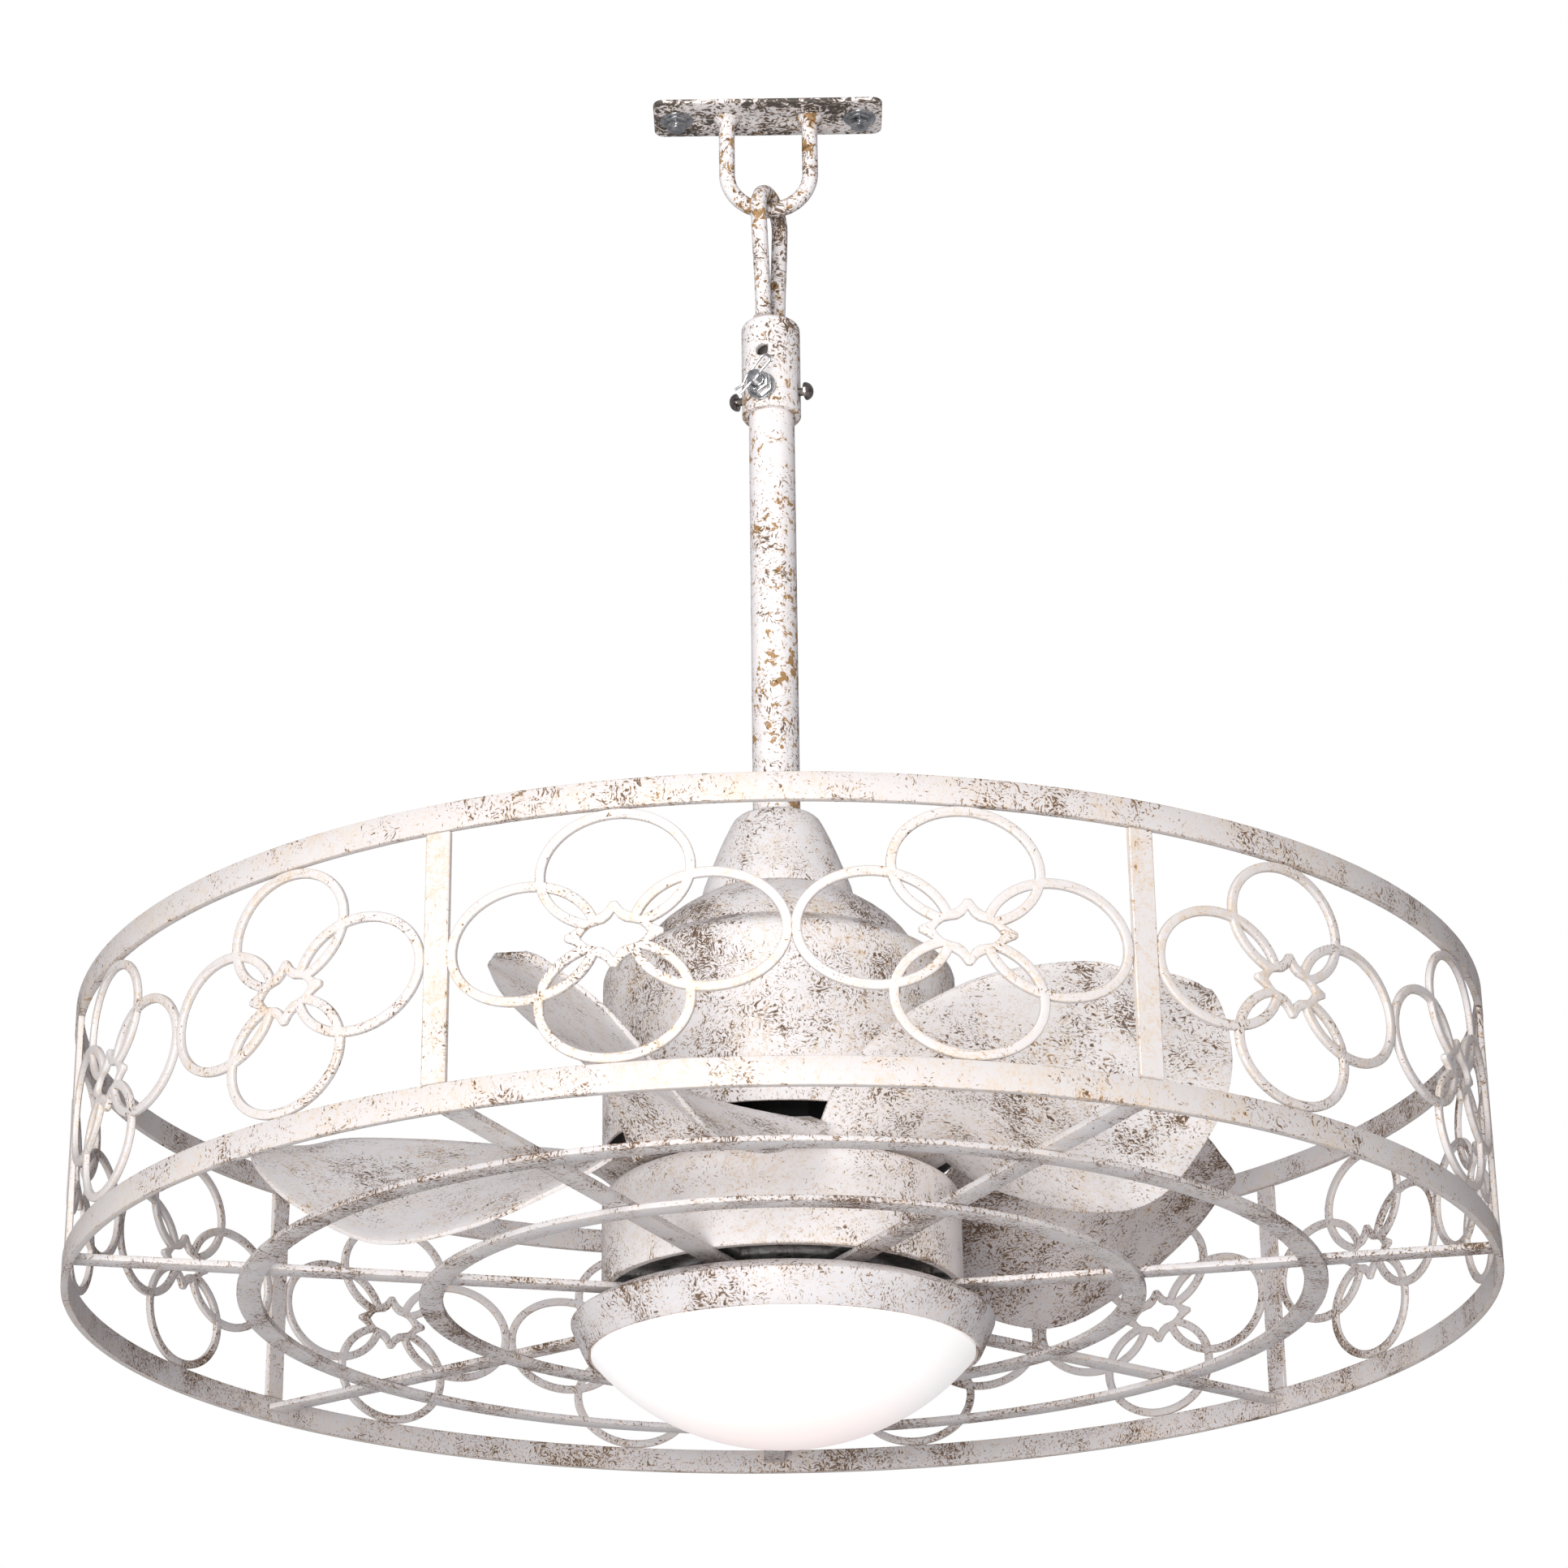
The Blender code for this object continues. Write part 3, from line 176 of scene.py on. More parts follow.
    # Colours, from the white coat out.
    dull = add_node(tree, "MapRange",
                    {"Value": hard.outputs[0], "From Min": 0.62, "From Max": 1.0,
                     "To Min": 0.15 * grey, "To Max": grey})
    white = add_node(tree, "Mix",
                     {0: dull.outputs[0], 6: linear(coat), 7: linear("C2BABB")}, data_type="RGBA")
    hazy = add_node(tree, "Mix",
                    {0: warm.outputs[0], 6: white.outputs[2], 7: linear("DDBC8C")}, data_type="RGBA")
    gold_tone = add_node(tree, "Mix",
                         {0: ragged.outputs[0], 6: linear("80592F"), 7: linear("C39A66")},
                         data_type="RGBA")
    gilded = add_node(tree, "Mix",
                      {0: flake.outputs[0], 6: hazy.outputs[2], 7: gold_tone.outputs[2]},
                      data_type="RGBA")
    brown_tone = add_node(tree, "Mix",
                          {0: chips.outputs[0], 6: linear("AE8759"), 7: linear(ink)},
                          data_type="RGBA")
    cover = add_node(tree, "MapRange",
                     {"Value": chips.outputs[0], "From Max": 0.55, "To Max": 0.93})
    whole = add_node(tree, "Mix",
                     {0: cover.outputs[0], 6: gilded.outputs[2], 7: brown_tone.outputs[2]},
                     data_type="RGBA")
    tree.links.new(whole.outputs[2], shader.inputs["Base Color"])

    # The coat is a little glossier than what is under it, and the chips lie lower than the coat.
    gloss = add_node(tree, "MapRange",
                     {"Value": chips.outputs[0], "To Min": 0.44, "To Max": 0.70})
    tree.links.new(gloss.outputs[0], shader.inputs["Roughness"])
    skin = add_node(tree, "TexNoise", {"Vector": mm, "Scale": 1 / 0.9, "Detail": 2})
    height = add_node(tree, "Math", {0: chips.outputs[0], 1: -1.6, 2: skin.outputs[0]},
                      operation="MULTIPLY_ADD")
    bump = add_node(tree, "Bump",
                    {"Height": height.outputs[0], "Strength": 0.4, "Distance": 0.00008})
    tree.links.new(bump.outputs[0], shader.inputs["Normal"])
    return made


def modify(piece, kind, **settings):
    """Add a modifier with its settings and apply it."""
    bpy.context.view_layer.objects.active = piece
    step = piece.modifiers.new("step", kind)
    for name, value in settings.items():
        setattr(step, name, value)
    bpy.ops.object.modifier_apply(modifier="step")


def select_only(piece):
    """Select a piece and nothing else, and make it the active one."""
    bpy.ops.object.select_all(action="DESELECT")
    piece.select_set(True)
    bpy.context.view_layer.objects.active = piece


sharp_corner = math.radians(40)
smooth_turn = math.radians(32)


def finish_piece(piece, node, surface, ease=0.0):
    """Ease the piece's sharp edges, then put it in the place of its solid."""
    if ease:
        modify(piece, "BEVEL", width=ease, segments=2, limit_method="ANGLE", angle_limit=sharp_corner)
    select_only(piece)
    bpy.ops.object.shade_smooth_by_angle(angle=smooth_turn)
    piece.data.materials.clear()
    piece.data.materials.append(surface)
    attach(piece, frame["nodes"][node]["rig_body"])
    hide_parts(node)


def slab(name, size, place, turn=0.0):
    """A rectangular piece of that size with its centre at that place."""
    bpy.ops.object.select_all(action="DESELECT")
    bpy.ops.mesh.primitive_cube_add(size=1, location=place, rotation=(0, 0, turn))
    piece = bpy.context.object
    piece.name = name
    piece.scale = size
    bpy.ops.object.transform_apply(location=True, rotation=True, scale=True)
    return piece


def prism(name, radius, start, end, sides):
    """A straight bar with equal sides from one place to another; many sides make it round."""
    run = Vector(end) - Vector(start)
    bpy.ops.object.select_all(action="DESELECT")
    bpy.ops.mesh.primitive_cylinder_add(vertices=sides, radius=radius, depth=run.length,
                                        location=(Vector(start) + Vector(end)) / 2,
                                        rotation=run.to_track_quat("Z", "Y").to_euler())
    piece = bpy.context.object
    piece.name = name
    return piece


def combine(piece, other, way):
    """Weld another piece to this one (UNION) or cut it out (DIFFERENCE), which uses it up."""
    modify(piece, "BOOLEAN", operation=way, solver="EXACT", object=other)
    bpy.data.objects.remove(other)


def drill(piece, radius, start, end, sides=32):
    """Cut a round hole from one place to another."""
    combine(piece, prism("drill", radius, start, end, sides), "DIFFERENCE")


plate_paint = rubbed_paint("paint_on_ceiling_plate", brown=1.65, flakes=0.4, haze=0.4, grey=0.2,
                           seed=3.0, fine=0.5, ink="2C231B")
plate_thickness = 0.003
corner_radius = 0.006
bolt_offset = 0.0554
plate = slab("plate_steel", (0.138, 0.038, plate_thickness), (0, 0, -plate_thickness / 2))
bpy.ops.object.mode_set(mode="EDIT")
bpy.ops.mesh.select_mode(type="EDGE")
bpy.ops.mesh.select_all(action="DESELECT")
bpy.ops.object.mode_set(mode="OBJECT")
for side in plate.data.edges:
    low, high = (plate.data.vertices[corner].co.z for corner in side.vertices)
    side.select = abs(high - low) > plate_thickness / 2
bpy.ops.object.mode_set(mode="EDIT")
bpy.ops.mesh.bevel(offset=corner_radius, segments=8, affect="EDGES")
bpy.ops.object.mode_set(mode="OBJECT")
for x in (-bolt_offset, bolt_offset):
    drill(plate, 0.00435, (x, 0, 0.001), (x, 0, -0.004))
finish_piece(plate, "ceiling_plate", plate_paint, ease=0.0007)


# Ceiling bolts: bright zinc hexagon bolts, each with a dished washer under its head.
# The bolt is flush with the plate's top, where it goes on into the ceiling.

def zinc_plate(name, colour, dark, rough, seed):
    """Bright zinc over steel: a cool metal with cloudy tone, fine scratches and dull spots."""
    made, tree, shader = new_material(name)
    place = add_node(tree, "TexCoord").outputs["Object"]
    mm = add_node(tree, "Mapping",
                  {"Vector": place, "Location": (seed, seed, seed), "Scale": (1000, 1000, 1000)})
    cloud = add_node(tree, "TexNoise",
                     {"Vector": mm.outputs[0], "Scale": 1 / 4, "Detail": 3, "Roughness": 0.6})
    tone = add_node(tree, "MapRange",
                    {"Value": cloud.outputs[0], "From Min": 0.35, "From Max": 0.72})
    colours = add_node(tree, "Mix",
                       {0: tone.outputs[0], 6: linear(colour), 7: linear(dark)}, data_type="RGBA")
    tree.links.new(colours.outputs[2], shader.inputs["Base Color"])
    shader.inputs["Metallic"].default_value = 1
    scratch = add_node(tree, "TexNoise",
                       {"Vector": mm.outputs[0], "Scale": 3, "Detail": 4, "Roughness": 0.7,
                        "Distortion": 2})
    gloss = add_node(tree, "MapRange",
                     {"Value": scratch.outputs[0], "From Min": 0.3, "From Max": 0.7,
                      "To Min": rough * 0.7, "To Max": rough * 1.6})
    tree.links.new(gloss.outputs[0], shader.inputs["Roughness"])
    bump = add_node(tree, "Bump",
                    {"Height": scratch.outputs[0], "Strength": 0.25, "Distance": 0.00003})
    tree.links.new(bump.outputs[0], shader.inputs["Normal"])
    return made


def close_mesh():
    """Merge the points that meet on the active piece, and turn its faces outward."""
    bpy.ops.object.mode_set(mode="EDIT")
    bpy.ops.mesh.select_all(action="SELECT")
    bpy.ops.mesh.remove_doubles(threshold=0.000005)
    bpy.ops.mesh.normals_make_consistent(inside=False)
    bpy.ops.object.mode_set(mode="OBJECT")


def lathe(name, outline, steps=96, axis_place=(0, 0, 0), axis=(0, 0, 1)):
    """Turn an outline of (radius, height) points once round an axis."""
    bpy.ops.object.select_all(action="DESELECT")
    bpy.ops.mesh.primitive_plane_add(size=0.001)
    piece = bpy.context.object
    piece.name = name
    bpy.ops.object.mode_set(mode="EDIT")
    bpy.ops.mesh.select_mode(type="VERT")
    bpy.ops.mesh.select_all(action="SELECT")
    bpy.ops.mesh.merge(type="CENTER")
    bpy.ops.transform.translate(value=(outline[0][0], 0, outline[0][1]))
    for here, there in zip(outline, outline[1:]):
        step = (there[0] - here[0], 0, there[1] - here[1])
        bpy.ops.mesh.extrude_vertices_move(TRANSFORM_OT_translate={"value": step})
    bpy.ops.mesh.select_all(action="SELECT")
    bpy.ops.mesh.spin(steps=steps, angle=2 * math.pi, center=(0, 0, 0), axis=(0, 0, 1))
    close_mesh()
    piece.rotation_euler = Vector(axis).to_track_quat("Z", "Y").to_euler()
    piece.location = axis_place
    bpy.ops.object.transform_apply(location=True, rotation=True, scale=True)
    return piece


def hexagon(name, width, start, end):
    """A hexagon bar of that width across its flats, from one place to another, with eased corners."""
    piece = prism(name, width / 2 / math.cos(math.pi / 6), start, end, 6)
    bpy.ops.object.transform_apply(location=True, rotation=True, scale=True)
    modify(piece, "BEVEL", width=0.0006, segments=3)
    return piece


def joined(*pieces):
    """Join pieces that are fixed to each other into the first one."""
    bpy.ops.object.select_all(action="DESELECT")
    for piece in pieces:
        piece.select_set(True)
    bpy.context.view_layer.objects.active = pieces[0]
    bpy.ops.object.join()
    return pieces[0]


# This zinc is a darker copy of the collar bolt's zinc: painted shade.
bright_zinc = zinc_plate("bright_zinc", "DADCDD", "7A7F84", rough=0.15, seed=0.0)
for node, x in (("ceiling_bolt_left", -bolt_offset), ("ceiling_bolt_right", bolt_offset)):
    washer = lathe(node + "_zinc", [(0.0042, -0.0036), (0.0080, -0.0034), (0.00985, -0.0033),
                                    (0.00985, -0.0039), (0.0082, -0.0048), (0.0042, -0.0049),
                                    (0.0042, -0.0036)], 48, (x, 0, 0))
    shank = lathe("shank", [(0, 0), (0.0036, 0), (0.00395, -0.0004), (0.00395, -0.006), (0, -0.006)],
                  32, (x, 0, 0))
    flange = lathe("flange", [(0, -0.0049), (0.0079, -0.0049), (0.0081, -0.0053), (0.0070, -0.0060),
                              (0, -0.0062)], 48, (x, 0, 0))
    head = hexagon("head", 0.0108, (x, 0, -0.0058), (x, 0, -0.0096))
    button = lathe("button", [(0, -0.0094), (0.0046, -0.0094), (0.0043, -0.0099), (0.0030, -0.0102),
                              (0, -0.0102)], 32, (x, 0, 0))
    finish_piece(joined(washer, shank, flange, head, button), node, bright_zinc,
                 ease=0.0002)


# Hanger: 3/8 in round bar bent to a U, with a bead of weld round each leg under the plate.
# The rubbing has left bigger gold flakes on the bars than on flat pieces.

def mesh_from(name, curve):
    """A closed mesh made from a curve."""
    piece = bpy.data.objects.new(name, curve)
    bpy.context.scene.collection.objects.link(piece)
    select_only(piece)
    bpy.ops.object.convert(target="MESH")
    close_mesh()
    return piece


def bar_through(name, points, radius, sides=5):
    """A round bar through a list of points."""
    curve = bpy.data.curves.new(name, "CURVE")
    curve.dimensions = "3D"
    curve.bevel_depth = radius
    curve.bevel_resolution = sides
    curve.use_fill_caps = True
    spline = curve.splines.new("POLY")
    spline.points.add(len(points) - 1)
    for point, place in zip(spline.points, points):
        point.co = (*place, 1)
    return mesh_from(name, curve)


def sweep(centre, radius, start, end, steps):
    """Points of an arc from one angle in degrees to another, both ends included."""
    turns = [math.radians(start + (end - start) * step / steps) for step in range(steps + 1)]
    return [(centre[0] + radius * math.cos(turn), centre[1] + radius * math.sin(turn))
            for turn in turns]


def weld_bead(outline, place, depth, size):
    """A ring of weld round a bar, roughened by puddles of that depth and size."""
    bead = lathe("bead", outline, 48, place)
    puddles = bpy.data.textures.new("puddles", "CLOUDS")
    puddles.noise_scale = size
    modify(bead, "DISPLACE", texture=puddles, strength=depth, texture_coords="LOCAL")
    return bead


bar_paint = rubbed_paint("paint_on_bars", brown=1.0, flakes=1.0, haze=0.3, grey=0.15, seed=40.0,
                         fine=0.75)
bar_radius = 0.00475
bend_radius = 0.025
leg_top = -0.0035
hanger_points = [(-bend_radius, 0, leg_top), (-bend_radius, 0, -0.0200)]
hanger_points += [(x, 0, z) for x, z in sweep((0, -0.0417), bend_radius, 180, 360, 40)]
hanger_points += [(bend_radius, 0, -0.0200), (bend_radius, 0, leg_top)]
hanger = bar_through("hanger_bar", hanger_points, bar_radius)
top_bead = [(0.0046, -0.0033), (0.0080, -0.0033), (0.0077, -0.0041), (0.0063, -0.0050),
            (0.0055, -0.0064), (0.0046, -0.0071), (0.0046, -0.0033)]
beads = [weld_bead(top_bead, (x, 0, 0), depth=0.0006, size=0.0022) for x in (-bend_radius, bend_radius)]
finish_piece(joined(hanger, *beads), "hanger_loop", bar_paint)


# Eye: the same bar bent to a long eye through the hanger, its two feet welded on the collar.
# Its legs stand one behind the other, the far one a little to the right.

def level_way(degrees):
    """A level direction at that many degrees round from the right."""
    return Vector((math.cos(math.radians(degrees)), math.sin(math.radians(degrees)), 0))


up = Vector((0, 0, 1))
eye_way = level_way(248)
foot = 0.01075
eye_leg = [(foot, -0.1457), (foot, -0.1362), (0.0122, -0.1180), (0.0146, -0.0960)]
eye_line = [(-reach, height) for reach, height in eye_leg]
eye_line += sweep((0, -0.0734), 0.0165, 188, -8, 36)
eye_line += eye_leg[::-1]
eye = bar_through("eye_bar", [eye_way * reach + up * height for reach, height in eye_line], bar_radius)
foot_bead = [(0.0046, -0.1458), (0.0062, -0.1458), (0.0058, -0.1450), (0.0050, -0.1440),
             (0.0046, -0.1436), (0.0046, -0.1458)]
beads = [weld_bead(foot_bead, eye_way * reach, depth=0.0003, size=0.0018) for reach in (-foot, foot)]
finish_piece(joined(eye, *beads), "eye_loop", bar_paint)


# Collar: a turned steel cap with a blind bore for the rod, drilled for a bolt, two set screws
# and a safety cable. The bolt runs across it and the screws sideways.

collar_paint = rubbed_paint("paint_on_collar", brown=0.85, flakes=0.8, haze=0.5, grey=0.15, seed=77.0,
                            fine=0.75)
across = level_way(252)
sideways = Vector((-across.y, across.x, 0))
cable_level = up * -0.170
bolt_level = up * -0.195
screw_level = up * -0.193
past_wall = 0.02
collar_radius = 0.01725
collar_bore = 0.0136
collar_bottom = -0.2070
bore_end = -0.1600
collar_line = [(0, -0.1460)] + sweep((0.01325, -0.1500), 0.0040, 90, 0, 10)
collar_line += [(collar_radius, -0.2062), (0.0168, collar_bottom), (0.0139, collar_bottom),
                (collar_bore, -0.2064), (collar_bore, bore_end), (0, bore_end)]
collar = lathe("collar_cap", collar_line, 72)
drill(collar, 0.0039, cable_level, cable_level + across * past_wall)
drill(collar, 0.0042, bolt_level - across * past_wall, bolt_level + across * past_wall)
drill(collar, 0.0026, screw_level - sideways * past_wall, screw_level + sideways * past_wall)
finish_piece(collar, "hanger_collar", collar_paint, ease=0.0004)


# Collar bolt: a 5/16 in zinc bolt through collar and rod, with its washer and nut in front
# and a wire clip through its tail. The clip hooks over the bolt and its ends flare. The zinc
# is the same as on the ceiling bolts, but given a paler colour as a painted highlight, so that
# these pieces gleam against the paint.

zinc_with_painted_highlight = zinc_plate("zinc_with_painted_highlight", "F0F0EF", "AEB2B6", rough=0.15, seed=5.0)
nut_width = 0.0127
bolt_head = hexagon("bolt_zinc", nut_width, bolt_level - across * 0.02285,
                    bolt_level - across * 0.01755)
bolt_shank = lathe("shank", [(0, -0.018), (0.00395, -0.018), (0.00395, 0.0326), (0.0033, 0.0333),
                             (0, 0.0333)], 32, bolt_level, across)
clip_lean = math.radians(46)
clip_run = sideways * math.cos(clip_lean) + up * math.sin(clip_lean)
clip_side = up * math.cos(clip_lean) - sideways * math.sin(clip_lean)
clip_place = bolt_level + across * 0.02975
drill(bolt_shank, 0.00095, clip_place - clip_run * 0.006, clip_place + clip_run * 0.006, 16)
finish_piece(joined(bolt_head, bolt_shank), "collar_bolt", zinc_with_painted_highlight, ease=0.0002)

washer = lathe("collar_washer_zinc", [(0.0042, 0.01755), (0.0081, 0.01755), (0.0084, 0.0178),
                                      (0.0084, 0.0189), (0.0081, 0.01915), (0.0042, 0.01915),
                                      (0.0042, 0.01755)], 48, bolt_level, across)
finish_piece(washer, "collar_washer", zinc_with_painted_highlight)

nut = hexagon("collar_nut_zinc", nut_width, bolt_level + across * 0.01945,
              bolt_level + across * 0.02625)
drill(nut, 0.0042, bolt_level + across * 0.018, bolt_level + across * 0.028)
finish_piece(nut, "collar_nut", zinc_with_painted_highlight, ease=0.0003)

clip_line = [(0.0000, -0.013), (0.0000, 0.012)]
clip_line += sweep((0.003, 0.012), 0.003, 180, 0, 14)
clip_line += [(0.0057, 0.0070), (0.0051, 0.0030), (0.0050, 0.0000), (0.0048, -0.0030),
              (0.0034, -0.0066), (0.0031, -0.0080), (0.0036, -0.0100), (0.0048, -0.0130)]
clip = bar_through("clip_wire", [clip_place + clip_side * x + clip_run * y for x, y in clip_line],
                   0.0008, sides=3)
finish_piece(clip, "hairpin_clip", zinc_with_painted_highlight)


# Set screws: steel screws plated with dark nickel, one at each side, that clamp the rod.
# Their round heads stand off the collar on their shanks.

dark_nickel = zinc_plate("dark_nickel", "A8A29C", "5A534E", rough=0.2, seed=9.0)
for node, side in (("set_screw_left", -1), ("set_screw_right", 1)):
    outward = sideways * side
    dome = [(0.00535 * math.cos(turn), 0.02115 + 0.0046 * math.sin(turn))
            for turn in (math.radians(10 * step) for step in range(1, 10))]
    screw = lathe(node + "_nickel", [(0.0024, 0.01365), (0.0024, 0.02085), (0.0049, 0.02075),
                                     (0.00535, 0.0211)] + dome[:-1] + [(0, 0.02575)],
                  40, screw_level, outward)
    bpy.ops.object.mode_set(mode="EDIT")
    bpy.ops.mesh.select_mode(type="EDGE")
    bpy.ops.mesh.select_all(action="DESELECT")
    bpy.ops.mesh.select_non_manifold()
    bpy.ops.mesh.edge_face_add()
    bpy.ops.mesh.select_all(action="SELECT")
    bpy.ops.mesh.normals_make_consistent(inside=False)
    bpy.ops.object.mode_set(mode="OBJECT")
    finish_piece(screw, node, dark_nickel)


# Rod: 3/4 in steel pipe, 325 mm long, cut square and cross-drilled for the collar's bolt.
# The gold flakes on it are the largest of all.

rod_paint = rubbed_paint("paint_on_rod", brown=0.8, flakes=0.92, haze=0.4, grey=0.15, seed=121.0,
                         fine=0.75)
rod_radius = 0.01335
rod_bore = 0.01045
rod_top = -0.1800
rod_bottom = -0.5050
rod = lathe("rod_pipe", [(rod_radius, -0.1803), (rod_radius, -0.5047), (0.0131, rod_bottom),
                         (0.0106, rod_bottom), (rod_bore, -0.5047), (rod_bore, -0.1803),
                         (0.0106, rod_top), (0.0131, rod_top), (rod_radius, -0.1803)], 64)
drill(rod, 0.0042, bolt_level - across * past_wall, bolt_level + across * past_wall)
finish_piece(rod, "downrod", rod_paint)


# Cone cover: a spun steel bell over the joint of rod and motor, flat on top with a rounded rim.
# It slides on the rod and rests on the motor housing.

cone_paint = rubbed_paint("paint_on_cone", brown=0.75, flakes=0.0, haze=0.6, grey=0.15, seed=160.0,
                          fine=1.15)
cone_side = [(0.01370, -0.4622), (0.0150, -0.4620), (0.0205, -0.4620), (0.0228, -0.4626),
             (0.0246, -0.4643), (0.0262, -0.4672), (0.0300, -0.4752), (0.0340, -0.4848),
             (0.0371, -0.4930), (0.0394, -0.4990), (0.0412, -0.5040), (0.0422, -0.5080),
             (0.0425, -0.5128)]
cone_inside = [(0.0411, -0.5128)]
cone_inside += [(r - 0.0013, z - 0.0006) for r, z in reversed(cone_side[3:-1])]
cone_inside += [(0.0137, -0.4634), cone_side[0]]
cone = lathe("cone_bell", cone_side + cone_inside, 96)
finish_piece(cone, "cone_cover", cone_paint)


# Motor housing: a spun steel cover with a flat top, a dome down to a crease, a rounded shoulder
# and a straight side. It is fixed on the motor's shaft and stands still.

housing_paint = rubbed_paint("paint_on_housing", brown=0.85, flakes=0.05, haze=1.0, grey=0.2,
                             seed=210.0, fine=1.2)
shaft_hole = 0.00825
housing_radius = 0.0970
housing_inside = 0.0955
housing_top = -0.5133
housing_bottom = -0.6580
dome_side = [(shaft_hole, housing_top), (0.0430, housing_top), (0.0458, -0.5143), (0.0525, -0.5186),
             (0.0596, -0.5236), (0.0660, -0.5290), (0.0714, -0.5349), (0.0755, -0.5409),
             (0.0780, -0.5452), (0.0786, -0.5466), (0.0794, -0.5464), (0.0812, -0.5476),
             (0.0850, -0.5497), (0.0886, -0.5517), (0.0918, -0.5536), (0.0944, -0.5556),
             (0.0961, -0.5577), (0.0969, -0.5603), (housing_radius, -0.5640),
             (housing_radius, -0.6572), (0.0968, housing_bottom)]
dome_inside = [(housing_inside, housing_bottom), (housing_inside, -0.5650), (0.0940, -0.5590),
               (0.0880, -0.5550), (0.0780, -0.5492), (0.0700, -0.5370), (0.0590, -0.5262),
               (0.0430, -0.5150), (shaft_hole, -0.5150), (shaft_hole, housing_top)]
housing = lathe("motor_cover", dome_side + dome_inside, 128)
finish_piece(housing, "motor_housing", housing_paint)


# Blades: five, pressed from steel sheet, each on a flat tab that a ring clamps. A blade is steep
# and twisted, with a high leading edge, a low trailing edge, a round tip and a root cut to the
# housing's curve. The second one was rubbed back more than the others, and its darker coat is
# painted shade, as it lies in the shade of the blade beside it.

def smooth(rows, share):
    """The row at a share of the way through a table, on a curve through all its rows."""
    spot = min(share * (len(rows) - 1), len(rows) - 1.000001)
    first = int(spot)
    t = spot - first
    before, here, there, after = (rows[min(max(first + step, 0), len(rows) - 1)]
                                  for step in (-1, 0, 1, 2))
    return [0.5 * (2 * b + (c - a) * t + (2 * a - 5 * b + 4 * c - d) * t ** 2
                   + (3 * b - a - 3 * c + d) * t ** 3)
            for a, b, c, d in zip(before, here, there, after)]


root_radius = 0.090
blade_span = 0.202
lead_width = 0.046
lead_level = -0.6740
lead_rise = 0.053
trail_width = 0.080
trail_level = -0.6660
trail_drop = 0.048
camber = 0.005


def blade_place(station, across_share):
    """A point of the blade's middle; the share runs from 0 at the leading edge to 1."""
    span, lead, rise, trail, drop = station
    offset = lead_width * lead + (-trail_width * trail - lead_width * lead) * across_share
    lead_height = lead_level + lead_rise * rise
    trail_height = trail_level - trail_drop * drop
    height = lead_height + (trail_height - lead_height) * across_share
    height += camber * 16 * across_share * (1 - across_share) * span * (1 - span)
    reach = root_radius + blade_span * span
    if abs(offset) < root_radius:
        reach -= (root_radius - math.sqrt(root_radius ** 2 - offset ** 2)) * (1 - span) ** 2
    return Vector((reach, -offset, height))


def copy_of(piece):
    """A copy of a piece, with a mesh of its own."""
    copy = piece.copy()
    copy.data = piece.data.copy()
    bpy.context.scene.collection.objects.link(copy)
    return copy


blade_paint = rubbed_paint("paint_on_blades", brown=0.86, flakes=0.2, haze=0.7, grey=0.1, worn=0.9,
                           seed=260.0)
# This coat is darker than the other blades': painted shade, with heavier rubbing too.
worn_and_shaded_blade_paint = rubbed_paint("paint_on_the_worn_and_shaded_blade", brown=1.25, flakes=0.15, haze=0.6,
                                  grey=0.3, worn=0.9, seed=300.0, coat="DAD4D4")

# Stations along the blade: the share of its span, then width and rise of the leading edge and
# width and drop of the trailing edge, as shares of their values above.
stations = [(0.00, 0.97, 0.00, 0.73, 0.00), (0.08, 0.98, 0.45, 0.90, 0.19),
            (0.20, 0.96, 0.75, 0.94, 0.52), (0.40, 1.00, 0.91, 1.00, 0.92),
            (0.60, 0.85, 1.00, 1.00, 1.00), (0.80, 0.43, 0.97, 0.92, 0.46),
            (0.90, 0.12, 0.84, 0.80, 0.06), (0.96, -0.11, 0.79, 0.63, -0.25),
            (0.99, -0.27, 0.735, 0.47, -0.50), (1.00, -0.38, 0.70, 0.36, -0.606)]

# The sheet is a grid with 60 rows of faces along the blade. Its first rows are the tab, which
# follows the clamp ring round to the leading and to the trailing edge.
last_row = 60
tab_rows = 3
tab_radius = 0.062
tab_length = 0.0173
tab_level = -0.6718
lead_turn = math.asin(0.4958)
trail_turn = math.asin(0.6489)
bpy.ops.object.select_all(action="DESELECT")
bpy.ops.mesh.primitive_grid_add(x_subdivisions=last_row, y_subdivisions=18, size=2)
blade = bpy.context.object
for vertex in blade.data.vertices:
    row = round((vertex.co.x + 1) / 2 * last_row)
    share = (vertex.co.y + 1) / 2
    turn = -lead_turn + (lead_turn + trail_turn) * share
    if row < tab_rows:
        radius = tab_radius + tab_length * row / (tab_rows - 1)
        vertex.co = (radius * math.cos(turn), radius * math.sin(turn), tab_level)
    else:
        vertex.co = blade_place(smooth(stations, (row - tab_rows) / (last_row - tab_rows)), share)
modify(blade, "SOLIDIFY", thickness=0.0024, offset=0, use_even_offset=True)
first_blade_angle = 311.8
for index in range(5):
    piece = copy_of(blade)
    piece.name = f"blade_sheet_{index + 1}"
    piece.data.transform(Matrix.Rotation(math.radians(first_blade_angle + 72 * index), 4, "Z"))
    paint = worn_and_shaded_blade_paint if index == 1 else blade_paint
    finish_piece(piece, f"blade_{index + 1}", paint, ease=0.0007)
bpy.data.objects.remove(blade)


# Lower housing: a spun steel cup with a rounded upper edge, open below, screwed to the adapter
# plate inside it. It is rubbed back like the motor housing above it.

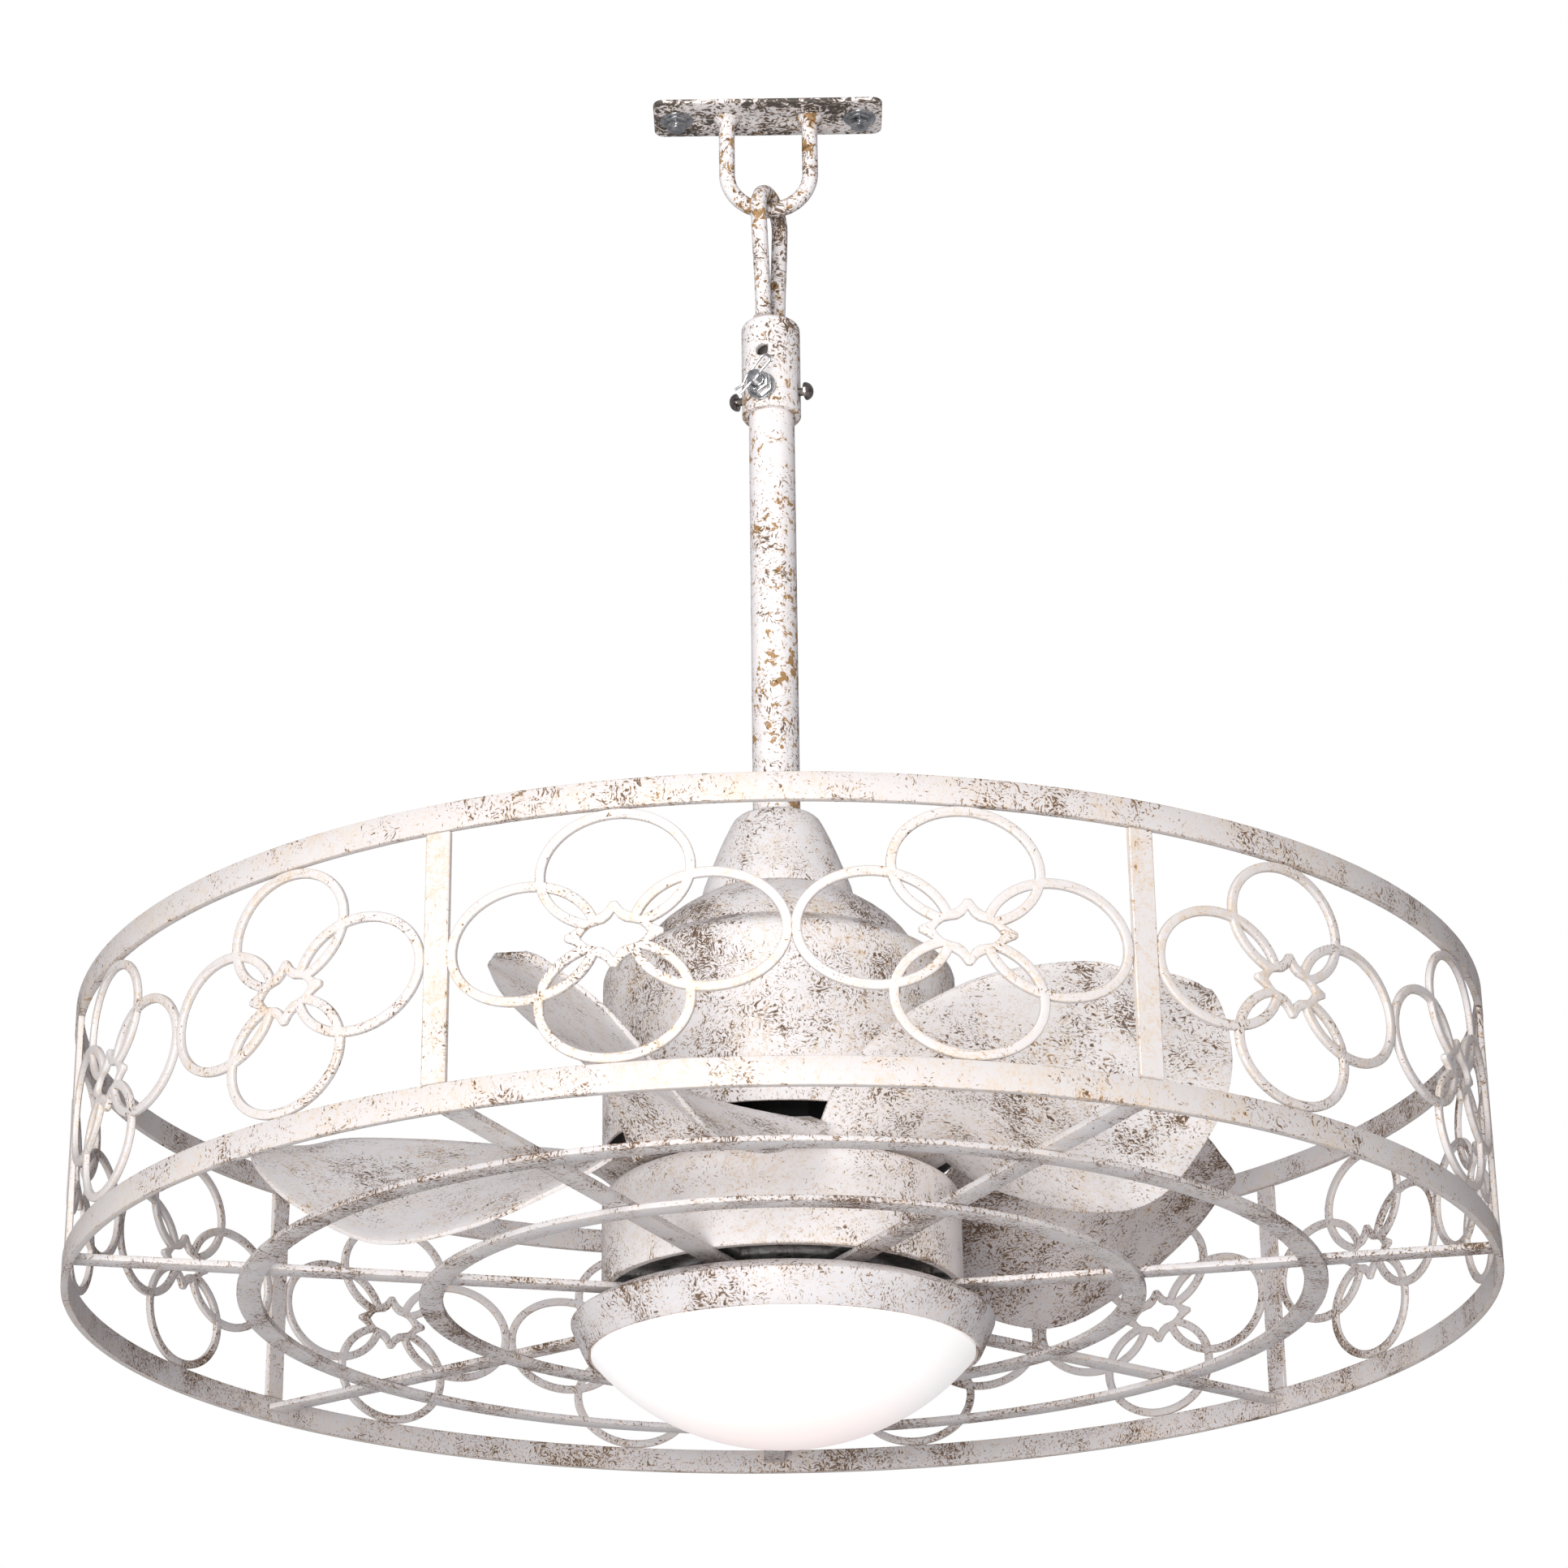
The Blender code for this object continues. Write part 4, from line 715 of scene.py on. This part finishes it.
lower_paint = rubbed_paint("paint_on_lower_housing", brown=0.8, flakes=0.05, haze=0.7, grey=0.15,
                           worn=1.1, seed=320.0, fine=1.15)
cup_top = -0.6785
cup_lip = -0.7337
cup_bottom = -0.7352
cup_line = [(shaft_hole, cup_top)] + sweep((0.0880, -0.6875), 0.0090, 90, 0, 12)
cup_line += [(housing_radius, -0.7346), (0.0966, cup_bottom), (0.0930, cup_bottom), (0.0930, cup_lip),
             (housing_inside, cup_lip), (housing_inside, -0.6880), (0.0940, -0.6820),
             (0.0880, -0.6800), (shaft_hole, -0.6800), (shaft_hole, cup_top)]
cup = lathe("lower_cup", cup_line, 128)
finish_piece(cup, "lower_housing", lower_paint)


# Cage hub: a steel disc with a raised boss, held to the plate in the lower housing by two screws.
# The whole floor of the cage is welded to it, and all of it has one duller, darker paint,
# which is painted shade for the underside of the cage.

shaded_floor_paint = rubbed_paint("paint_with_painted_shade_under_the_cage", brown=1.05, flakes=0.0, haze=0.5, grey=0.45, worn=1.05,
                         seed=380.0, coat="E3E0E0")
hub_top = -0.7337
hub_step = -0.7355
hub_bottom = -0.7387
hub = lathe("hub_disc", [(0.0400, hub_top), (0.0400, hub_step), (0.0650, hub_step),
                         (0.0650, hub_bottom), (0.0160, hub_bottom), (0.0160, hub_top),
                         (0.0400, hub_top)], 96)
screw_circle = 0.033
screw_places = [level_way(degrees) * screw_circle for degrees in (250, 70)]
for place in screw_places:
    drill(hub, 0.0028, place + up * -0.732, place + up * -0.740, 24)
finish_piece(hub, "cage_hub", shaded_floor_paint, ease=0.0004)
for index, place in enumerate(screw_places):
    screw = lathe(f"hub_screw_{index + 1}_zinc",
                  [(0, -0.7304), (0.0022, -0.7304), (0.0025, -0.7308), (0.0025, -0.7390),
                   (0.0050, -0.7390), (0.0050, -0.7398), (0.0042, -0.7409), (0.0025, -0.7415),
                   (0, -0.7415)], 32, place)
    finish_piece(screw, f"hub_screw_{index + 1}", bright_zinc)


# Cage floor: seven spokes of 1/2 in flat steel bar from the hub to the hoop, on two rings of the
# same bar, all welded where they cross.

def ring_bar(name, inner, outer, bottom, top, steps=160):
    """A bar of rectangular section bent to a full ring."""
    return lathe(name, [(inner, top), (outer, top), (outer, bottom), (inner, bottom), (inner, top)],
                 steps)


bar_width = 0.0127
bar_thickness = 0.0032
spoke_start = 0.0653
spoke_end = 0.3761
spoke_level = -0.7371
spoke_angles = [91.2 + 360 * index / 7 for index in range(7)]
for index, degrees in enumerate(spoke_angles):
    middle = level_way(degrees) * (spoke_start + spoke_end) / 2 + up * spoke_level
    spoke = slab(f"spoke_bar_{index + 1}", (spoke_end - spoke_start, bar_width, bar_thickness), middle,
                 math.radians(degrees))
    finish_piece(spoke, f"spoke_{index + 1}", shaded_floor_paint, ease=0.0004)
ring_top = -0.7390
ring_bottom = -0.7420
for node, outer in (("inner_ring_small", 0.194), ("inner_ring_large", 0.290)):
    ring = ring_bar(node + "_bar", outer - bar_width, outer, ring_bottom, ring_top)
    finish_piece(ring, node, shaded_floor_paint, ease=0.0004)


# Hoops: two rings of flat steel bar bent on the flat, 762 mm across, welded to the uprights.
# Outside they are rubbed and pale; the faces that look in are darker, as painted shade.

# The hoops' coat is greyer than the housings' white, though the paint is the same: painted shade that
# holds them down in the front light.
hoop_paint = rubbed_paint("paint_on_hoops", brown=0.72, flakes=0.05, haze=0.7, grey=0.15, worn=1.0,
                          seed=430.0, coat="DBD6D4")
shaded_inner_paint = rubbed_paint("paint_with_painted_shade_inside_the_cage", brown=1.0, flakes=0.0, haze=0.5, grey=0.3,
                           worn=1.2, seed=640.0, fine=1.2, coat="D0CCCC")


def paint_inside(piece):
    """Give the faces that look in at the blades their own darker paint, as painted shade."""
    piece.data.materials.append(shaded_inner_paint)
    for face in piece.data.polygons:
        if face.normal.xy.dot(face.center.xy) < -0.5 * face.center.xy.length:
            face.material_index = 1


hoop_radius = 0.381
hoop_thickness = 0.004
hoop_height = 0.014
for node, bottom in (("bottom_hoop", -0.7447), ("top_hoop", -0.6063)):
    hoop = ring_bar(node + "_bar", hoop_radius - hoop_thickness, hoop_radius, bottom,
                    bottom + hoop_height, 224)
    finish_piece(hoop, node, hoop_paint, ease=0.0006)
    paint_inside(hoop)


# Cage sides: each upright carries two motifs of four overlapping ovals round a star,
# all cut from 3 mm steel sheet, rolled to the cage's curve and welded between the hoops.

def cut_sheet(name, outlines, thickness=bar_thickness, edge=0.0009):
    """A flat piece cut to closed outlines with eased edges; an inner outline is a hole."""
    curve = bpy.data.curves.new(name, "CURVE")
    curve.dimensions = "2D"
    curve.fill_mode = "BOTH"
    curve.extrude = thickness / 2 - edge
    curve.bevel_depth = edge
    curve.bevel_resolution = 2
    curve.offset = -edge
    for outline in outlines:
        spline = curve.splines.new("POLY")
        spline.points.add(len(outline) - 1)
        spline.use_cyclic_u = True
        for point, place in zip(spline.points, outline):
            point.co = (*place, 0, 1)
    return mesh_from(name, curve)


def mirrored(quarter, half_width, half_height):
    """A closed outline from one quarter of it, in shares of its half width and half height."""
    points = []
    for right, rise, order in ((1, 1, 1), (1, -1, -1), (-1, -1, 1), (-1, 1, -1)):
        for x, y in quarter[::order]:
            place = (x * half_width * right, y * half_height * rise)
            if not points or math.dist(place, points[-1]) > 0.00001:
                points.append(place)
    if math.dist(points[0], points[-1]) < 0.00001:
        points.pop()
    return points


oval_across = 0.0441
oval_above = 0.0317
oval_rims = ((0.0381, 0.0302), (0.0334, 0.0255))
turns = [2 * math.pi * step / 72 for step in range(72)]
ovals = []
for x, y in ((0, oval_above), (oval_across, 0), (0, -oval_above), (-oval_across, 0)):
    rims = [[(x + width * math.cos(turn), y + height * math.sin(turn)) for turn in turns]
            for width, height in oval_rims]
    ovals.append(cut_sheet("oval", rims))
motif = ovals[0]
for oval in ovals[1:]:
    combine(motif, oval, "UNION")
star_inside = [(0.0, 0.67), (0.08, 0.50), (0.21, 0.37), (0.35, 0.33), (0.50, 0.27), (0.60, 0.15),
               (0.68, 0.0)]
star_outside = [(0.0, 0.99), (0.06, 0.98), (0.10, 0.91), (0.15, 0.81), (0.21, 0.72), (0.32, 0.63),
                (0.43, 0.57), (0.60, 0.42), (0.73, 0.28), (0.86, 0.17), (0.97, 0.10), (1.0, 0.06),
                (1.0, 0.0)]
star_width = 0.0235
star_height = 0.0164
window = cut_sheet("window", [mirrored(star_inside, 0.0250, 0.0180)], thickness=0.006)
star = cut_sheet("star", [mirrored(outline, star_width, star_height)
                          for outline in (star_outside, star_inside)])
combine(motif, window, "DIFFERENCE")
combine(motif, star, "UNION")

upright_length = 0.1238
upright = slab("upright", (bar_width, upright_length, bar_thickness), (0, 0, 0))
modify(upright, "BEVEL", width=0.0005)
# Their coat is greyer than the housings' white, though the paint is the same: painted shade that holds
# them down in the front light.
panel_paint = rubbed_paint("paint_on_cage_sides", brown=0.5, flakes=0.0, haze=0.8, grey=0.05, worn=1.1,
                           seed=500.0, coat="E3DEDC")
side_radius = 0.379
side_level = -0.6685
motif_places = (0.0878, 0.2514)
for index, degrees in enumerate(spoke_angles):
    pieces = [copy_of(upright)]
    for along in motif_places:
        pieces.append(copy_of(motif))
        pieces[-1].data.transform(Matrix.Translation((along, 0, 0)))
    panel = joined(*pieces)
    panel.name = f"cage_side_{index + 1}"
    for vertex in panel.data.vertices:
        turn = math.radians(degrees) + vertex.co.x / side_radius
        radius = side_radius + vertex.co.z
        vertex.co = (radius * math.cos(turn), radius * math.sin(turn), side_level + vertex.co.y)
    finish_piece(panel, f"cage_panel_{index + 1}", panel_paint)
    # Their faces that look in take the painted shade of the cage's inside too.
    paint_inside(panel)
bpy.data.objects.remove(motif)
bpy.data.objects.remove(upright)


# Light pan: spun steel with a flat top, a round shoulder and a side that leans in to a lip.
# It is fixed under the cage hub, and the bowl twists into it.

# Its coat is greyer than the housings' white, though the paint is the same: painted shade that holds it
# down in the front light.
pan_paint = rubbed_paint("paint_on_light_pan", brown=1.2, flakes=0.15, haze=0.45, grey=0.4, worn=1.2,
                         seed=560.0, coat="E5E2E3")
pan_side = [(0.0160, -0.7390), (0.0240, -0.7390), (0.0240, -0.7449), (0.1010, -0.7449),
            (0.1034, -0.7455), (0.1094, -0.7488), (0.1124, -0.7507), (0.1133, -0.7519),
            (0.1132, -0.7532), (0.1112, -0.7580), (0.1082, -0.7646), (0.1060, -0.7690),
            (0.1050, -0.7699), (0.1038, -0.7697)]
pan_inside = [(0.1046, -0.7690), (0.1068, -0.7646), (0.1098, -0.7580), (0.1116, -0.7535),
              (0.1108, -0.7516), (0.1020, -0.7466), (0.0226, -0.7463), (0.0226, -0.7404),
              (0.0160, -0.7404), (0.0160, -0.7390)]
pan = lathe("pan_shell", pan_side + pan_inside, 128)
finish_piece(pan, "light_pan", pan_paint)


# Bowl: blown opal glass, twisted into the pan and lit by the lamp board behind it. It glows
# white, a little warmer at its lowest, where it is farthest from the lamps.

opal, tree, shader = new_material("opal_glass_lit")
place = add_node(tree, "TexCoord").outputs["Object"]
split = add_node(tree, "SeparateXYZ", {0: place})
low = add_node(tree, "MapRange",
               {"Value": split.outputs["Z"], "From Min": -0.792, "From Max": -0.818})
cloud = add_node(tree, "TexNoise", {"Vector": place, "Scale": 22, "Detail": 2})
drift = add_node(tree, "Math", {0: cloud.outputs[0], 1: 0.25, 2: low.outputs[0]},
                 operation="MULTIPLY_ADD")
light = add_node(tree, "Mix",
                 {0: drift.outputs[0], 6: linear("FFFDFC"), 7: linear("FFF0EC")}, data_type="RGBA")
tree.links.new(light.outputs[2], shader.inputs["Emission Color"])
tree.links.new(light.outputs[2], shader.inputs["Base Color"])
shader.inputs["Emission Strength"].default_value = 0.40
shader.inputs["Roughness"].default_value = 0.22
shader.inputs["Subsurface Weight"].default_value = 0.35
shader.inputs["Subsurface Radius"].default_value = (0.010, 0.009, 0.008)
neck_radius = 0.10249
neck_top = -0.7600
neck_bottom = -0.7699
lowest = -0.8169
bowl_depth = 0.047
sphere = (neck_radius ** 2 + bowl_depth ** 2) / 2 / bowl_depth


def bowl_arc(wall, steps=24):
    """The bowl's curve that far inside its outer face, from the lowest place out to the neck."""
    radius = sphere - wall
    half = math.asin((neck_radius - wall) / radius)
    turns = [half * step / steps for step in range(steps + 1)]
    return [(radius * math.sin(turn), lowest + sphere - radius * math.cos(turn)) for turn in turns]


glass = 0.003
bowl_line = [(neck_radius, neck_top), (neck_radius, neck_bottom)]
bowl_line += bowl_arc(0)[-2::-1] + bowl_arc(glass)
bowl_line += [(neck_radius - glass, neck_top), (neck_radius, neck_top)]
bowl = lathe("opal_bowl", bowl_line, 128)
finish_piece(bowl, "glass_bowl", opal)


# Inside: the turned, stacked and wound pieces of the motor keep their solids. They take the look
# of ground steel, stacked sheet, enamelled wire, ferrite, moulded plastic and a lamp board.

def plain_finish(name, first, second, rough, metallic, size, stretch=(1, 1, 1)):
    """A surface of two close colours in a fine grain of that size in mm."""
    made, tree, shader = new_material(name)
    place = add_node(tree, "TexCoord").outputs["Object"]
    scale = [1000 * part for part in stretch]
    mm = add_node(tree, "Mapping", {"Vector": place, "Scale": scale})
    grain = add_node(tree, "TexNoise",
                     {"Vector": mm.outputs[0], "Scale": 1 / size, "Detail": 4, "Roughness": 0.6})
    tone = add_node(tree, "MapRange",
                    {"Value": grain.outputs[0], "From Min": 0.3, "From Max": 0.7})
    colour = add_node(tree, "Mix", {0: tone.outputs[0], 6: linear(first), 7: linear(second)},
                      data_type="RGBA")
    tree.links.new(colour.outputs[2], shader.inputs["Base Color"])
    gloss = add_node(tree, "MapRange",
                     {"Value": grain.outputs[0], "From Min": 0.3, "From Max": 0.7,
                      "To Min": rough * 0.8, "To Max": rough * 1.25})
    tree.links.new(gloss.outputs[0], shader.inputs["Roughness"])
    shader.inputs["Metallic"].default_value = metallic
    bump = add_node(tree, "Bump",
                    {"Height": grain.outputs[0], "Strength": 0.4, "Distance": 0.00003})
    tree.links.new(bump.outputs[0], shader.inputs["Normal"])
    return made


ground_steel = plain_finish("ground_steel", "A8A6A2", "7F7D7A", rough=0.32, metallic=1, size=1.2,
                            stretch=(1, 1, 8))
sheet_stack = plain_finish("stacked_motor_sheet", "5A5B60", "38393D", rough=0.45, metallic=1, size=0.5,
                           stretch=(0.05, 0.05, 1))
copper_wire = plain_finish("enamelled_copper_wire", "B4683A", "7C3F20", rough=0.30, metallic=1,
                           size=0.8, stretch=(1, 1, 3))
ferrite = plain_finish("ferrite", "26262A", "17171A", rough=0.6, metallic=0, size=1.5)
black_nylon = plain_finish("black_glass_filled_nylon", "1B1A1A", "0F0F0F", rough=0.5, metallic=0,
                           size=1.0)
lamp_board = plain_finish("white_lamp_board", "F2F1EC", "DCDAD3", rough=0.4, metallic=0, size=3.0)
for surface, names in ((ground_steel, ("motor_coupler", "motor_shaft", "rotor_bell", "upper_bearing",
                                       "lower_bearing", "blade_clamp_ring")),
                       (sheet_stack, ("stator_core",)), (copper_wire, ("stator_windings",)),
                       (ferrite, ("magnet_ring",)), (black_nylon, ("blade_hub", "driver_box")),
                       (lamp_board, ("led_board",)),
                       (bright_zinc, ("coupler_pin", "adapter_plate", "shaft_nut"))):
    for name in names:
        mesh = frame["nodes"][name].data
        for index in range(len(mesh.materials)):
            mesh.materials[index] = surface


# Studio: a pale floor far below, a white room, a large soft light in front and below,
# a weaker one above it, one under the blades on the left and a faint one on the right.

bpy.ops.object.select_all(action="DESELECT")
bpy.ops.mesh.primitive_plane_add(size=14, location=(0, 0, -3.4))
floor = bpy.context.object
floor.name = "studio_floor"

# A matt floor in two close greys, so pale that it hardly shows in the paint above it.
floor_paint, tree, shader = new_material("pale_floor")
place = add_node(tree, "TexCoord").outputs["Object"]
grain = add_node(tree, "TexNoise", {"Vector": place, "Scale": 6, "Detail": 3})
tone = add_node(tree, "Mix", {0: grain.outputs[0], 6: linear("E6E5E4"), 7: linear("DEDCDB")},
                data_type="RGBA")
tree.links.new(tone.outputs[2], shader.inputs["Base Color"])
shader.inputs["Roughness"].default_value = 0.8
floor.data.materials.append(floor_paint)

world = bpy.data.worlds.new("white_room")
bpy.context.scene.world = world
world.use_nodes = True
tree = world.node_tree
room = tree.nodes["Background"]
path = add_node(tree, "LightPath")
seen = add_node(tree, "Math",
                {0: path.outputs["Is Camera Ray"], 1: path.outputs["Is Transmission Ray"]},
                operation="MAXIMUM")
bright = add_node(tree, "MapRange",
                  {"Value": seen.outputs[0], "To Min": 0.34, "To Max": 1.0})
tint = add_node(tree, "Mix", {0: seen.outputs[0], 6: linear("F7F5FC"), 7: linear("FFFFFF")},
                data_type="RGBA")
tree.links.new(tint.outputs[2], room.inputs["Color"])
tree.links.new(bright.outputs[0], room.inputs["Strength"])


def soft_light(name, place, aim, size, power):
    """A square soft light of that size at a place, turned to another place."""
    lamp = bpy.data.lights.new(name, "AREA")
    lamp.shape = "SQUARE"
    lamp.size = size
    lamp.energy = power
    holder = bpy.data.objects.new(name, lamp)
    bpy.context.scene.collection.objects.link(holder)
    holder.location = place
    holder.rotation_euler = (Vector(aim) - Vector(place)).to_track_quat("-Z", "Y").to_euler()


soft_light("front_light", (-0.7, -3.65, -1.75), (0, 0, -0.6), size=1.4, power=101)
soft_light("upper_light", (-0.7, -3.2, 0.5), (0, 0, -0.5), size=1.5, power=42)
soft_light("left_light", (-1.0, -1.3, -2.8), (-0.1, 0, -0.7), size=1.2, power=8)
soft_light("right_light", (2.3, -1.2, -1.5), (0, 0, -0.6), size=1.4, power=1.0)


# Camera: 2.1 m in front of the fan and half a metre below it, looking up about 23 degrees.
# It is rolled by less than a degree, as the photograph is.

lens = bpy.data.cameras.new("camera")
lens.lens = 92.9
lens.sensor_width = 36
camera = bpy.data.objects.new("camera", lens)
bpy.context.scene.collection.objects.link(camera)
camera_place = (0.0069, -2.1044, -1.3202)
pitch, yaw, roll = (math.radians(angle) for angle in (22.71, -0.07, -0.772))
look = Vector((math.sin(yaw) * math.cos(pitch), math.cos(yaw) * math.cos(pitch), math.sin(pitch)))
level_right = look.cross(up).normalized()
level_up = level_right.cross(look)
right = level_right * math.cos(roll) + level_up * math.sin(roll)
upright_axis = level_up * math.cos(roll) - level_right * math.sin(roll)
turned = Matrix((right, upright_axis, -look)).transposed().to_4x4()
camera.matrix_world = Matrix.Translation(camera_place) @ turned
bpy.context.scene.camera = camera
bpy.context.scene.view_settings.view_transform = "Standard"
